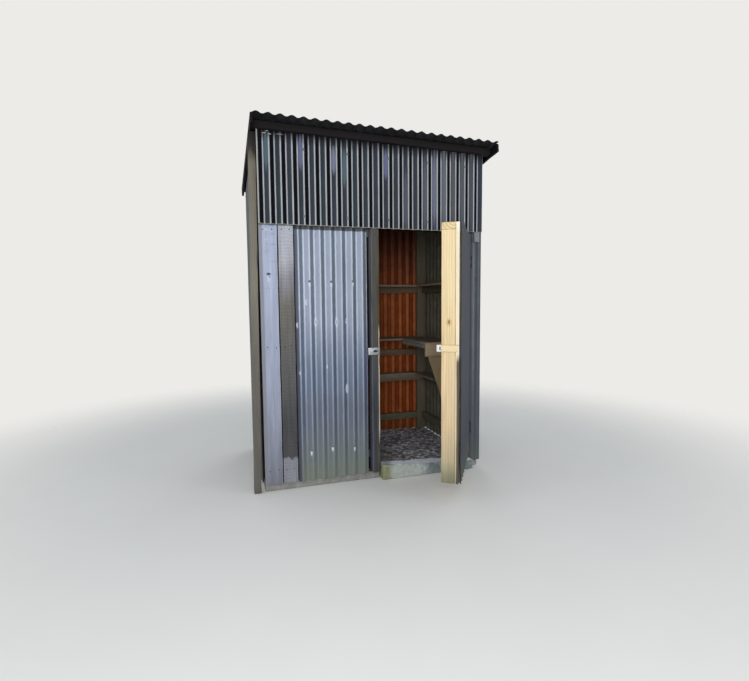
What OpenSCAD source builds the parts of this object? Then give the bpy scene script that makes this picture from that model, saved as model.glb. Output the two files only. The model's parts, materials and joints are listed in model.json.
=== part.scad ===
// Small timber-framed shed clad in corrugated iron, with a single-pitch roof and one hinged door.
// The origin is the middle of the slab's underside, +X to the right, +Y into the shed, +Z up.

/* [Overall] */
// Width of the front wall over its cladding
wall_w = 1690; // [1500:10:2100]
// Depth of the shed from front cladding to back cladding
wall_d = 1090; // [950:10:1500]
// Height of the front wall's cladding above the ground
wall_h = 2442; // [2300:1:2800]
// Fall of the roof from front to back in degrees
roof_fall = 8.5; // [4:0.5:12]
// Sideways lean of the roof in degrees, lower on the right
roof_lean = 0.95; // [0:0.05:2]

/* [Iron] */
// Distance between two crests of the corrugated iron
crest_pitch = 76.2; // [60:0.1:90]
// Depth of the corrugations from crest to trough, without the metal
crest_depth = 15; // [10:0.5:20]
// Thickness of the corrugated iron as modelled
iron_t = 2; // [1.5:0.1:3]
// Straight pieces in the outline of one corrugation
crest_steps = 10; // [6:2:16]

/* [Timber] */
// Width of the wall posts, along the front
post_w = 70; // [50:5:90]
// Depth of the wall posts, into the wall
post_d = 50; // [40:5:75]
// Width of the two posts of the back wall, along the wall
back_post_w = 90; // [50:5:110]
// Height of the rails between the posts
rail_h = 60; // [45:5:90]
// Thickness of the rails
rail_t = 45; // [35:5:50]
// Height of the plates on the posts and of the rafters
plate_h = 70; // [50:5:90]
// Height and width of the battens under the roof iron
batten_s = 50; // [30:5:60]
// Thickness of boards and shelves
board_t = 20; // [15:1:30]
// Side of the square post outside the left corner
corner_post_s = 50; // [40:1:80]
// Lean of that post in degrees, its top against the corner
corner_post_lean = 0.6; // [0:0.1:1.5]

/* [Ground] */
// Thickness of the concrete floor slab
slab_t = 60; // [40:5:120]
// Height of the concrete kerb in the doorway, at its left end
sill_h = 115; // [95:5:140]
// Fall of the kerb's top to the right in degrees
sill_fall = 2.9; // [0:0.1:3.5]
// How far the kerb stands out in front of the cladding
sill_out = 50; // [0:5:80]
// Depth of the kerb from front to back
sill_d = 100; // [80:5:160]
// How far the front cladding stops above the ground
clad_gap = 50; // [20:5:100]

/* [Front wall] */
// Height of the doorway's top, which is the bottom edge of the upper iron
band_z = 1848; // [1700:1:2000]
// How far the upper iron laps over the tops of the boards and the lower iron
band_lap = 25; // [10:1:60]
// Distance from the left corner to the upper iron's first crest
band_crest = 52; // [0:1:76]
// How far the upper iron stops short of the right corner
band_short = 12; // [0:1:30]
// Width of the board at the left corner
board_left_w = 122; // [90:1:150]
// Width of the weathered board beside it
board_inner_w = 103; // [80:1:130]
// Gap between the two boards
board_gap = 6; // [3:1:10]
// Gap between the weathered board and the lower iron
lower_gap = 7; // [1:1:15]
// Distance from the lower iron's left edge to its first crest
lower_crest = 24; // [0:1:76]
// Gap between the lower iron and the board on the latch side
jamb_gap = 29; // [2:1:40]
// Width of the doorway between its posts
door_gap_w = 758; // [650:1:800]
// Width of the iron strip on the hinge side of the doorway
side_strip_w = 86; // [75:1:100]
// Width of the weathered board on the latch side of the doorway
jamb_board_w = 61; // [40:1:70]
// Distance from the hinge side iron's left edge to its crest
side_crest = 38; // [0:1:76]
// Width of the little block nailed at the top of the hinge side
side_block_s = 47; // [40:1:55]
// Height of that block
side_block_h = 74; // [40:1:120]
// How far the block stops below the upper iron's edge
side_block_drop = 1; // [1:1:30]
// How far the block stops short of the right corner
side_block_inset = 30; // [5:1:35]

/* [Door] */
// Thickness of the door's stiles and rails
stile_t = 45; // [35:1:50]
// Depth of the door's stiles and rails, through the door
stile_d = 90; // [70:1:100]
// Thickness of the outer strip between the stiles and the iron
strip_t = 24; // [18:1:32]
// Distance from the free edge of the door's iron to its first crest
door_crest = 0; // [0:1:76]
// Gap between the free edge of the door and its post
free_gap = 25; // [20:1:35]
// Gap between the door's hinge edge and its post
hinge_gap = 9; // [6:1:15]
// Gap under the door, above the kerb
under_gap = 17; // [8:1:40]
// Gap between the door and the upper iron's edge
over_gap = 30; // [15:1:50]
// Angle that the door stands open
open_angle = 56.5; // [0:0.5:120]
// Height of the latch above the ground
latch_z = 998; // [800:1:1200]
// Height of the latch strap round the free edge
latch_h = 44; // [30:1:60]
// Outer diameter of the hinge knuckles
knuckle_d = 8; // [6:1:9]
// Height of one hinge
hinge_h = 90; // [60:5:120]

/* [Shelves] */
// Height of the upper shelf's top
upper_shelf_z = 1484; // [1300:1:1650]
// Depth of the upper shelf
upper_shelf_d = 130; // [90:5:200]
// Height of the bench top
bench_z = 980; // [850:1:1100]
// Width of the bench along the right wall
bench_right_w = 320; // [200:5:350]
// Depth of the bench along the back wall
bench_back_d = 230; // [150:5:300]
// How far the right bench stops behind the front cladding
bench_front_y = 330; // [250:5:500]
// Width of the slanting board under the right bench, measured level
brace_w = 125; // [60:5:150]
// Depth of the bench's edge along its left side, from the top down
bench_edge_h = 50; // [35:5:90]
// How far the back wall's rail hangs below the underside of the bench
bench_rail_drop = 100; // [0:5:150]
// Height of the lower shelf's top
lower_shelf_z = 630; // [450:1:700]
// Depth of the lower shelf along the back wall
lower_shelf_d = 100; // [80:5:180]
// Depth of the lower shelf along the right wall
lower_shelf_side = 137; // [80:1:180]
// Height of the board along the lower shelf's front edge
shelf_lip_h = 75; // [30:5:110]
// Height of the board across the end of the right bench
fascia_h = 116; // [80:1:150]

/* [Roof] */
// Overhang of the roof at the front
eave_front = 105; // [60:5:160]
// Overhang of the roof at the back
eave_back = 90; // [40:5:160]
// Overhang of the roof on the left
eave_left = 40; // [40:5:90]
// Overhang of the roof on the right
eave_right = 75; // [35:5:120]
// Height of the boards along the two sloping edges
barge_h = 60; // [55:5:150]

/* [Hidden] */

// Clearance between neighbouring pieces, and how far a cut reaches past a face
seat = 0.3;
over = 1;
skin = crest_depth + iron_t;
left_x = -wall_w / 2;
right_x = wall_w / 2;
front_y = -wall_d / 2;
back_y = wall_d / 2;
frame_left = left_x;
frame_right = right_x - skin;
frame_front = front_y + skin;
frame_back = back_y - skin;

jamb_right = right_x - side_strip_w - door_gap_w;
hinge_post_x = jamb_right + door_gap_w;
jamb_left = jamb_right - post_w;
door_left = jamb_right + free_gap;
door_right = hinge_post_x - hinge_gap;
door_bottom = sill_h + under_gap;
door_top = band_z - over_gap;

pivot_x = hinge_post_x - hinge_gap / 2;
pivot_y = front_y - knuckle_d / 2;

// Roof: its plane, its outline and the lap of its two sheets
roof_z = wall_h + batten_s / (cos(roof_fall) * cos(roof_lean));
roof_x0 = left_x - eave_left;
roof_x1 = right_x + eave_right;
roof_y0 = -eave_front / cos(roof_fall);
roof_y1 = (wall_d + eave_back) / cos(roof_fall);
roof_lap_x = roof_x0 + crest_pitch * floor((roof_x1 - roof_x0) / crest_pitch / 2);

// Heights of the plates under the rafters, and of the rails between the posts
front_plate_z = under_roof(frame_right, frame_front + post_d, batten_s + plate_h) - plate_h;
back_plate_z = under_roof(frame_right, frame_back, batten_s + plate_h) - plate_h;
bottom_rail_z = 225;
rail_tops = [bottom_rail_z, lower_shelf_z - board_t - seat, bench_z - board_t - seat,
    upper_shelf_z - board_t - seat];
side_rail_y0 = frame_front + post_d + seat;
side_rail_y1 = frame_back - post_d - seat;
header_h = 90;

// Front cladding, from the left corner to the doorway
clad_top = band_z + band_lap;
clad_face = frame_front - seat - board_t;
band_back = clad_face - seat;
inner_x0 = left_x + board_left_w + board_gap;
lower_x0 = inner_x0 + board_inner_w + lower_gap;
lower_x1 = jamb_right - jamb_board_w - jamb_gap;
side_x0 = hinge_post_x + 1;
sill_left = jamb_right + 1;
sill_right = hinge_post_x - 1;
sill_front = front_y - sill_out;

// Shelves and bench
inner_left = frame_left + 1;
inner_right = frame_right - 1;
rails_left = frame_left + rail_t + seat;
rails_right = frame_right - rail_t - seat;
bench_x0 = inner_right - bench_right_w;
side_shelf_y0 = front_y + 240;
bench_y0 = front_y + bench_front_y;
bench_back_y = frame_back - bench_back_d;

// Door
stile_y0 = frame_front + strip_t + 2 * seat;
stile_y1 = stile_y0 + stile_d;
door_back_y = frame_front;
iron_back = 3;
packer_in = 20;
packer_out = 3;
latch_case_d = 30;
keeper_w = 87;
keeper_h = 52;
keeper_t = 3;
keeper_drop = 61;
keeper_inset = 3;
hook_s = 11;
pin_d = 6;
pin_play = 0.05;
leaf_t = 3;
leaf_y1 = frame_front + 0.8 * post_d;
hinge_inset = 150;
hinge_zs = [door_bottom + hinge_inset, door_top - hinge_inset - hinge_h];

// Colours
dark_iron = "#1d1b21";
grey_iron = "#5f646e";
pale_iron = "#8f96a6";
door_iron = "#4a505d";
rust_iron = "#93451f";
drab_iron = "#6f6858";
old_timber = "#6d665a";
painted_timber = "#a2a8ba";
dark_timber = "#4a443e";
pine = "#e3c798";
concrete = "#a9aba5";
zinc = "#a8abae";
white_paint = "#e4e4e2";

// Height of the plane that lies drop below the underside of the roof iron
function under_roof(x, y, drop) = roof_z - x * tan(roof_lean)
    - (y - front_y) * tan(roof_fall) / cos(roof_lean) - drop / (cos(roof_fall) * cos(roof_lean));

// Outline of corrugated iron w wide, with a crest at the distance crest_at from its left edge
function wave(x, crest_at) = crest_depth / 2 * (1 + cos(360 * (x - crest_at) / crest_pitch));
function wave_x(w) = [for (i = [0 : ceil(w / crest_pitch * crest_steps)]) min(i * crest_pitch / crest_steps, w)];
function iron_outline(w, crest_at) =
    let (xs = wave_x(w), last = len(xs) - 1)
    concat(
        [for (x = xs) [x, wave(x, crest_at)]],
        [for (i = [last : -1 : 0]) [xs[i], wave(xs[i], crest_at) + iron_t]]);

module bar(from, to) {
    translate(from) cube(to - from);
}

// Iron with upright corrugations, its back in the plane y = 0 and its crests at y = -skin
module wall_iron(w, h, crest_at) {
    mirror([0, 1, 0]) linear_extrude(h) polygon(iron_outline(w, crest_at));
}

// Everything below the plane that lies drop under the roof iron
module below_roof(drop) {
    reach = 2 * (wall_w + wall_d);
    intersection() {
        children();
        on_roof() translate([-reach, -reach, -reach - drop]) cube([2 * reach, 2 * reach, reach]);
    }
}

// The sloping frame of the roof, with z = 0 on the battens and y = 0 at the front cladding
module on_roof() {
    translate([0, front_y, roof_z]) rotate([-roof_fall, roof_lean, 0]) children();
}

// Turns the closed door about its hinge pins to where it stands open
module door_swing() {
    translate([pivot_x, pivot_y, 0]) rotate([0, 0, open_angle]) translate([-pivot_x, -pivot_y, 0]) children();
}

module floor_slab() {
    color(concrete) difference() {
        bar([frame_left, frame_front, 0], [frame_right, frame_back, slab_t]);
        bar([sill_left - seat, frame_front - over, -over],
            [sill_right + seat, sill_front + sill_d + seat, slab_t + over]);
    }
}

// Kerb whose top falls to the right
module door_sill() {
    color(concrete) difference() {
        bar([sill_left, sill_front, 0], [sill_right, sill_front + sill_d, sill_h]);
        translate([sill_left, 0, sill_h]) rotate([0, sill_fall, 0])
            translate([-over, -wall_d, 0]) cube([wall_w, wall_d, sill_h]);
    }
}

module post(x, y, w, top) {
    bar([x, y, slab_t + seat], [x + w, y + post_d, top - seat]);
}

module front_left_post() {
    color(old_timber) post(frame_left, frame_front, post_w, front_plate_z);
}

module door_jamb_post() {
    color(old_timber) post(jamb_left, frame_front, post_w, band_z);
}

module hinge_post() {
    color(old_timber) post(hinge_post_x, frame_front, frame_right - hinge_post_x, front_plate_z);
}

module back_posts() {
    color(old_timber) for (x = [frame_left, frame_right - back_post_w])
        post(x, frame_back - post_d, back_post_w, back_plate_z);
}

// Post that stands on the ground and leans with its top against the corner
module outer_corner_post() {
    side = corner_post_s;
    color("#7c776c") below_roof(barge_h + 2 * seat) intersection() {
        translate([left_x - seat, front_y, wall_h]) rotate([0, corner_post_lean, 0])
            translate([-side, 0, -2 * wall_h]) cube([side, side, 3 * wall_h]);
        bar([left_x - wall_w, front_y, 0], [left_x - seat, front_y + side, roof_z]);
    }
}

// One rail below each height in tops, between two corners of its plan
module rails(from, to, tops) {
    for (top = tops) bar([from.x, from.y, top - rail_h], [to.x, to.y, top]);
}

module left_wall_rails() {
    color(old_timber) rails([frame_left, side_rail_y0], [frame_left + rail_t, side_rail_y1], rail_tops);
}

module right_wall_rails() {
    color(old_timber) rails([frame_right - rail_t, side_rail_y0], [frame_right, side_rail_y1], rail_tops);
}

// The rail under the bench hangs lower on this wall
module back_wall_rails() {
    color(old_timber) rails(
        [frame_left + back_post_w + seat, frame_back - rail_t],
        [frame_right - back_post_w - seat, frame_back],
        [rail_tops[0], rail_tops[1], rail_tops[2] - bench_rail_drop, rail_tops[3]]);
}

module front_wall_rails() {
    x0 = frame_left + post_w + seat;
    x1 = jamb_left - seat;
    color(old_timber) for (top = [rail_tops[0], rail_tops[2], band_z - seat])
        bar([x0, frame_front, top - rail_h], [x1, frame_front + rail_t, top]);
}

// Beam behind the upper iron's lower edge, packed out to the iron over the doorway
module door_header() {
    top = band_z + header_h;
    color(dark_timber) {
        bar([frame_left + post_w + seat, frame_front, band_z], [hinge_post_x - seat, frame_front + rail_t, top]);
        bar([jamb_right + seat, clad_face, band_z], [hinge_post_x - seat, frame_front + over, top]);
    }
}

module front_top_plate() {
    color(dark_timber) below_roof(batten_s + plate_h + seat)
        bar([frame_left, clad_face, front_plate_z], [frame_right, frame_front + post_d, roof_z]);
}

module back_top_plate() {
    color(dark_timber) below_roof(batten_s + plate_h + seat)
        bar([frame_left, frame_back - post_d, back_plate_z], [frame_right, frame_back, roof_z]);
}

module rafters() {
    run = 2 * wall_d;
    middle = (frame_left + frame_right - rail_t) / 2;
    color(dark_timber) intersection() {
        on_roof() for (x = [frame_left - over, middle, frame_right - rail_t])
            translate([x, -wall_d / 2, -batten_s - plate_h]) cube([rail_t + over, run, plate_h - seat]);
        bar([frame_left, frame_front, 0], [frame_right, frame_back, 2 * wall_h]);
    }
}

module roof_battens() {
    run = (wall_d + eave_back) / cos(roof_fall);
    first = -batten_s / 2;
    last = wall_d / cos(roof_fall) - batten_s / 2;
    color(dark_timber) on_roof() for (y = [first, (first + last) / 2, last])
        translate([left_x - eave_left + board_t + seat, y, -batten_s])
            cube([wall_w + eave_left + eave_right - 2 * (board_t + seat), batten_s, batten_s]);
}

// Roof iron from x0 to x1, raised by lift where it laps over its neighbour
module roof_iron(x0, x1, lift) {
    translate([x0, roof_y1, seat + lift]) rotate([90, 0, 0])
        linear_extrude(roof_y1 - roof_y0) polygon(iron_outline(x1 - x0, roof_x0 + crest_pitch / 2 - x0));
}

module roof_sheet_left() {
    color(dark_iron) on_roof() roof_iron(roof_x0, roof_lap_x + crest_pitch, 0);
}

module roof_sheet_right() {
    color(dark_iron) on_roof() roof_iron(roof_lap_x, roof_x1, iron_t + seat);
}

module barge_boards() {
    top = -seat;
    color(dark_iron) on_roof() for (x = [left_x - eave_left, right_x + eave_right - board_t])
        translate([x, roof_y0, top - barge_h]) cube([board_t, roof_y1 - roof_y0, barge_h]);
}

module front_upper_sheet() {
    color(grey_iron) below_roof(batten_s + seat)
        translate([left_x, band_back, band_z]) wall_iron(wall_w - band_short, roof_z - band_z, band_crest);
}

module front_lower_sheet() {
    color(pale_iron) translate([lower_x0, frame_front - seat, clad_gap])
        wall_iron(lower_x1 - lower_x0, clad_top - clad_gap, lower_crest);
}

module front_board_left() {
    color(painted_timber) bar(
        [left_x, clad_face, clad_gap],
        [left_x + board_left_w, frame_front - seat, clad_top]);
}

module front_board_inner() {
    color("#7d786f") bar(
        [inner_x0, clad_face, clad_gap],
        [inner_x0 + board_inner_w, frame_front - seat, clad_top]);
}

module jamb_board() {
    color(dark_timber) bar(
        [jamb_right - jamb_board_w, clad_face, clad_gap],
        [jamb_right, frame_front - seat, clad_top]);
}

module hinge_side_sheet() {
    color(grey_iron) translate([side_x0, frame_front - seat, clad_gap])
        wall_iron(right_x - side_x0, clad_top - clad_gap, side_crest);
}

module hinge_side_block() {
    top = band_z - side_block_drop;
    x1 = right_x - side_block_inset;
    color(grey_iron) bar(
        [x1 - side_block_s, front_y - board_t - seat, top - side_block_h],
        [x1, front_y - seat, top]);
}

// Iron of the left wall, from the back to just behind the outer post
module left_wall_sheet() {
    color(grey_iron) below_roof(batten_s + seat)
        translate([frame_left - seat, back_y, clad_gap]) rotate([0, 0, -90])
            wall_iron(wall_d - corner_post_s - seat, roof_z - clad_gap, crest_pitch / 2);
}

module right_wall_sheet() {
    color(drab_iron) below_roof(batten_s + seat)
        translate([frame_right + seat, frame_front, clad_gap]) rotate([0, 0, 90])
            wall_iron(back_y - frame_front, roof_z - clad_gap, crest_pitch / 2);
}

module back_wall_sheet() {
    w = frame_right - frame_left;
    color(rust_iron) below_roof(batten_s + seat)
        translate([frame_right, frame_back + seat, clad_gap]) rotate([0, 0, 180])
            wall_iron(w, roof_z - clad_gap, crest_pitch / 2);
}

// Takes the posts and rails of the frame out of a board that passes them
module clear_of_frame() {
    difference() {
        children();
        for (x = [frame_left, frame_right - back_post_w])
            bar([x - seat, frame_back - post_d - seat, 0], [x + back_post_w + seat, frame_back + over, wall_h]);
    }
}

// A shelf board lying on the rails, its top at z
module shelf_board(from, to, z) {
    bar([from.x, from.y, z - board_t], [to.x, to.y, z]);
}

module upper_shelf() {
    back_edge = frame_back - upper_shelf_d;
    color("#a59a86") clear_of_frame() union() {
        shelf_board([inner_left, back_edge], [inner_right, frame_back - seat], upper_shelf_z);
    }
    color("#a59a86") shelf_board(
        [inner_right - upper_shelf_d, side_shelf_y0], [inner_right, back_edge - seat], upper_shelf_z);
}

module bench_back() {
    color("#8d8371") clear_of_frame()
        shelf_board([inner_left, bench_back_y], [inner_right, frame_back - seat], bench_z);
}

// Bench top with a thinner board under its left edge, behind the slanting board
module bench_right() {
    far = bench_back_y - seat;
    color("#8d8371") {
        shelf_board([bench_x0, bench_y0], [inner_right, far], bench_z);
        bar([bench_x0, bench_y0 + board_t + seat, bench_z - bench_edge_h],
            [bench_x0 + board_t, far, bench_z - board_t - seat]);
    }
}

module bench_end_board() {
    color("#a08a70") bar(
        [bench_x0, bench_y0 - seat - board_t, bench_z - fascia_h],
        [inner_right - rail_t, bench_y0 - seat, bench_z]);
}

// Slanting board from under the bench's free corner down to the lowest rail of the right wall
module bench_brace() {
    top = bench_z - board_t - seat;
    foot = bottom_rail_z - rail_h;
    steepness = (top - foot) / (rails_right - bench_x0);
    color("#7d6b55") translate([0, bench_y0 + board_t, 0]) rotate([90, 0, 0]) linear_extrude(board_t)
        polygon([[bench_x0, top], [bench_x0 + brace_w, top],
            [rails_right, foot + brace_w * steepness], [rails_right, foot]]);
}

// Shelf along the back wall with a board along its front edge, and a shelf along the right wall
module lower_shelf() {
    lip_y = frame_back - lower_shelf_d;
    board_y = lip_y + board_t + seat;
    color("#8f8673") {
        clear_of_frame() shelf_board([inner_left, board_y], [inner_right, frame_back - seat], lower_shelf_z);
        bar([rails_left, lip_y, lower_shelf_z - shelf_lip_h], [rails_right, lip_y + board_t, lower_shelf_z]);
        shelf_board(
            [inner_right - lower_shelf_side, bench_y0 + board_t + 1],
            [inner_right, lip_y - seat], lower_shelf_z);
    }
}

module door_stile(x) {
    color(pine) door_swing() bar(
        [x, stile_y0, door_bottom],
        [x + stile_t, stile_y1, door_top - stile_t - seat]);
}

module door_free_stile() {
    color(pine) difference() {
        door_stile(door_left);
        door_swing() bar(
            [door_left - over, stile_y0 - over, latch_z - seat],
            [door_left + packer_in + seat, stile_y1 + over, latch_z + latch_h + seat]);
    }
}

module door_hinge_stile() {
    door_stile(door_right - stile_t);
}

module door_rails() {
    inner0 = door_left + stile_t + seat;
    inner1 = door_right - stile_t - seat;
    color(pine) door_swing() {
        bar([door_left, stile_y0, door_top - stile_t], [door_right, stile_y1, door_top]);
        for (z = [door_bottom, latch_z])
            bar([inner0, stile_y0, z], [inner1, stile_y1, z + stile_t]);
    }
}

module door_strips() {
    y0 = door_back_y + seat;
    color("#ecd9b4") door_swing() difference() {
        for (x = [door_left, door_right - stile_t])
            bar([x, y0, door_bottom], [x + stile_t, y0 + strip_t, door_top]);
        bar([door_left - over, y0 - over, latch_z - seat],
            [door_left + packer_in + seat, y0 + strip_t + over, latch_z + latch_h + seat]);
    }
}

module door_sheet() {
    color(door_iron) door_swing() translate([door_left, door_back_y, door_bottom])
        wall_iron(door_right - iron_back - door_left, door_top - door_bottom, door_crest);
}

module latch_packer() {
    color("#e9d3ad") door_swing() bar(
        [door_left - packer_out, door_back_y + 2 * seat, latch_z],
        [door_left + packer_in, stile_y1, latch_z + latch_h]);
}

module latch_case() {
    color(white_paint) door_swing() bar(
        [door_left, stile_y1 + seat, latch_z],
        [door_left + latch_h, stile_y1 + seat + latch_case_d, latch_z + latch_h]);
}

module latch_keeper() {
    x1 = jamb_right - keeper_inset;
    y1 = clad_face - seat;
    y0 = y1 - keeper_t;
    z0 = latch_z - keeper_drop;
    hook_x = x1 - hook_s - keeper_inset;
    hook_z = z0 + keeper_h / 2 - hook_s;
    color(zinc) {
        bar([x1 - keeper_w, y0, z0], [x1, y1, z0 + keeper_h]);
        bar([hook_x, y0 - hook_s, hook_z], [hook_x + hook_s, y0 + keeper_t / 2, hook_z + 2 * hook_s]);
    }
}

module knuckle(z0, z1) {
    translate([pivot_x, pivot_y, z0]) cylinder(h = z1 - z0, d = knuckle_d);
}

// Leaf of a hinge from the pin back along a wooden edge
module leaf(x0, x1, z0, z1) {
    bar([x0, pivot_y, z0], [x1, leaf_y1, z1]);
}

module post_hinges() {
    third = hinge_h / 3;
    color(zinc) for (z = hinge_zs) {
        union() {
            leaf(hinge_post_x - leaf_t - seat, hinge_post_x - seat, z, z + third - seat);
            leaf(hinge_post_x - leaf_t - seat, hinge_post_x - seat, z + 2 * third + seat, z + hinge_h);
            bar([hinge_post_x - leaf_t - seat, frame_front, z],
                [hinge_post_x - seat, leaf_y1, z + hinge_h]);
            knuckle(z, z + third - seat);
            knuckle(z + 2 * third + seat, z + hinge_h);
            translate([pivot_x, pivot_y, z]) cylinder(h = hinge_h, d = pin_d);
        }
    }
}

module door_hinges() {
    third = hinge_h / 3;
    color(zinc) door_swing() for (z = hinge_zs) {
        difference() {
            union() {
                leaf(door_right + seat, door_right + seat + leaf_t, z + third, z + 2 * third);
                knuckle(z + third, z + 2 * third);
            }
            translate([pivot_x, pivot_y, z]) cylinder(h = hinge_h, d = pin_d + 2 * pin_play);
        }
    }
}

floor_slab();
door_sill();
front_left_post();
door_jamb_post();
hinge_post();
back_posts();
outer_corner_post();
left_wall_rails();
right_wall_rails();
back_wall_rails();
front_wall_rails();
door_header();
front_top_plate();
back_top_plate();
rafters();
roof_battens();
roof_sheet_left();
roof_sheet_right();
barge_boards();
front_upper_sheet();
front_lower_sheet();
front_board_left();
front_board_inner();
jamb_board();
hinge_side_sheet();
hinge_side_block();
left_wall_sheet();
right_wall_sheet();
back_wall_sheet();
upper_shelf();
bench_back();
bench_right();
bench_end_board();
bench_brace();
lower_shelf();
door_free_stile();
door_hinge_stile();
door_rails();
door_strips();
door_sheet();
latch_packer();
latch_case();
latch_keeper();
post_hinges();
door_hinges();
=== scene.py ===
import json
import math
import random
from functools import partial

import bmesh
import bpy
from mathutils import Matrix, Vector, noise


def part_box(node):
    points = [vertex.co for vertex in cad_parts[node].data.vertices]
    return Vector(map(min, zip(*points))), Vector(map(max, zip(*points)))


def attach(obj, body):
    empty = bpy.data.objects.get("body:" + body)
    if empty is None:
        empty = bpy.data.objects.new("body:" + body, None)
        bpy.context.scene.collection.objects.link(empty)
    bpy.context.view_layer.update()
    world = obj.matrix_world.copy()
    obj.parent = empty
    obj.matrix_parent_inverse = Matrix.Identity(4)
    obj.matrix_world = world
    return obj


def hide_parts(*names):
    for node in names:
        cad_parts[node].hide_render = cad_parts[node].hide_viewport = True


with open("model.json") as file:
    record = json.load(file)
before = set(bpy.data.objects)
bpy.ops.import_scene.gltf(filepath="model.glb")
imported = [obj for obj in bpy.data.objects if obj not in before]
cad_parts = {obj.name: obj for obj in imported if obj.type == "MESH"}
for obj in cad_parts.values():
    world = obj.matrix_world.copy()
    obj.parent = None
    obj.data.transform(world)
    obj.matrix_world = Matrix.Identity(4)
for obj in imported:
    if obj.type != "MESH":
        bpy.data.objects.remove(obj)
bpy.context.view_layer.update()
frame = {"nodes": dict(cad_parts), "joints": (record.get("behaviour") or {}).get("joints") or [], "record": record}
nodes = frame["nodes"]
record = frame["record"]
slotOf = {row["node"]: row["material_slot"] for row in record["subparts"]}
bodyOf = {node: body for body, names in record["behaviour"]["bodies"].items() for node in names}
scene = bpy.context.scene
print("frame loaded,", len(nodes), "nodes")


# Colours, nodes and small helpers
def linear(code):
    # sRGB hex colour to the linear values that a socket takes
    parts = [int(code[i:i + 2], 16) / 255 for i in (1, 3, 5)]
    return (*[c / 12.92 if c <= 0.04045 else ((c + 0.055) / 1.055) ** 2.4 for c in parts], 1)


def plug(node, inputs):
    # links a socket to a named input, or sets a value on it
    for key, value in inputs.items():
        socket = node.inputs[key] if isinstance(key, int) else next(
            s for s in node.inputs if s.name == key and s.enabled)
        if isinstance(value, bpy.types.NodeSocket):
            node.id_data.links.new(value, socket)
        else:
            socket.default_value = value


def addNode(tree, kind, inputs, out=None, stops=None, **options):
    # adds a node with its settings and links, and returns the output that is wanted, or every one
    node = tree.nodes.new("ShaderNode" + kind)
    for key, value in options.items():
        setattr(node, key, value)
    if stops:
        ramp = node.color_ramp.elements
        for i, (place, code) in enumerate(stops):
            stop = ramp[i] if i < 2 else ramp.new(place)
            stop.position, stop.color = place, linear(code)
    plug(node, inputs)
    if out == "all":
        return list(node.outputs)
    return node.outputs[out] if out else next(s for s in node.outputs if s.enabled)


def startMaterial(name):
    material = bpy.data.materials.new(name)
    material.use_nodes = True
    tree = material.node_tree
    return material, partial(addNode, tree), tree.nodes["Principled BSDF"]


def fit(thing, body, slot, *replaced):
    # puts a finished piece on its body, and hides the nodes it stands for
    scene.collection.objects.link(thing)
    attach(thing, body)
    if replaced:
        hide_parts(*replaced)
    return thing


def meshObject(name, work, materials, smoothAngle):
    # a bmesh as an object, smooth except at its real edges
    bmesh.ops.recalc_face_normals(work, faces=work.faces)
    mesh = bpy.data.meshes.new(name)
    work.to_mesh(mesh)
    work.free()
    for material in materials:
        mesh.materials.append(material)
    mesh.polygons.foreach_set("use_smooth", [True] * len(mesh.polygons))
    mesh.set_sharp_from_angle(angle=math.radians(smoothAngle))
    return bpy.data.objects.new(name, mesh)


def store(thing, key, kind, values):
    # a value for each point, which the materials read by its key
    data = thing.data.attributes.new(key, kind, "POINT").data
    data.foreach_set("vector" if kind == "FLOAT_VECTOR" else "value", values)


def extent(points):
    # the low and the high corner of a set of points
    return [Vector([pick(p[i] for p in points) for i in range(3)]) for pick in (min, max)]


def lathe(work, centre, axis, profile, around, squeeze=1):
    # a turned form: (radius, height) pairs about an axis, closed at both ends on the axis
    axis = Vector(axis).normalized()
    side = axis.orthogonal().normalized() if abs(axis.z) > 0.9 else Vector((0, 0, 1))
    other = axis.cross(side)
    rings = []
    for radius, height in profile:
        turn = [Vector(centre) + axis * height + (other * math.cos(t) + side * math.sin(t) * squeeze) * radius
                for t in (math.tau * i / around for i in range(around))]
        rings.append([work.verts.new(p) for p in (turn if radius else turn[:1])])
    for low, high in zip(rings, rings[1:]):
        for i in range(around):
            j = (i + 1) % around
            corners = [low[i % len(low)], low[j % len(low)], high[j % len(high)], high[i % len(high)]]
            work.faces.new(list(dict.fromkeys(corners)))


door = {"openAngle": 56.5, "pivot": frame["joints"][0]["pos_m"]}
pivot = Matrix.Translation(door["pivot"])
openTurn = pivot @ Matrix.Rotation(math.radians(door["openAngle"]), 4, "Z") @ pivot.inverted()
shutTurn = openTurn.inverted()
# the roof's slopes in degrees, the point where its plane starts, and its outline on that plane
roof = {"fall": 8.5, "lean": 0.95, "startAt": (0, -0.545, 2.49256), "left": -0.885, "right": 0.920,
        "front": -0.10617, "back": 1.1931, "lapAt": -0.0468, "seats": (0.0003, 0.0026)}
fallTan, leanTan = math.tan(math.radians(roof["fall"])), math.tan(math.radians(roof["lean"]))
roofTurn = (Matrix.Translation(roof["startAt"]) @ Matrix.Rotation(math.radians(roof["lean"]), 4, "Y")
            @ Matrix.Rotation(-math.radians(roof["fall"]), 4, "X"))


# Materials
def band(colour, cover, ragged, *where):
    # a strip of another finish with a ragged border. Each part of where is an axis, the place where the strip starts
    # and the place where it covers in full, in metres
    return {"colour": colour, "cover": cover, "ragged": ragged, "where": where}


def mark(colour, cover, ragged, soft, *where):
    # an oval of another finish: a knot, a scratch, bare paint. Each part of where is an axis, a middle and a half
    # length, in mm
    return {"colour": colour, "cover": cover, "ragged": ragged, "soft": soft, "where": where}


def passFrom(add, patch, ragged, along, start, end):
    # 0 at the start and 1 at the end of a passage whose borders a noise makes ragged
    value = add("Math", {0: patch, 1: ragged, 2: along}, operation="MULTIPLY_ADD")
    return add("MapRange", {"Value": value, "From Min": start + ragged / 2, "From Max": end + ragged / 2})


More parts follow.
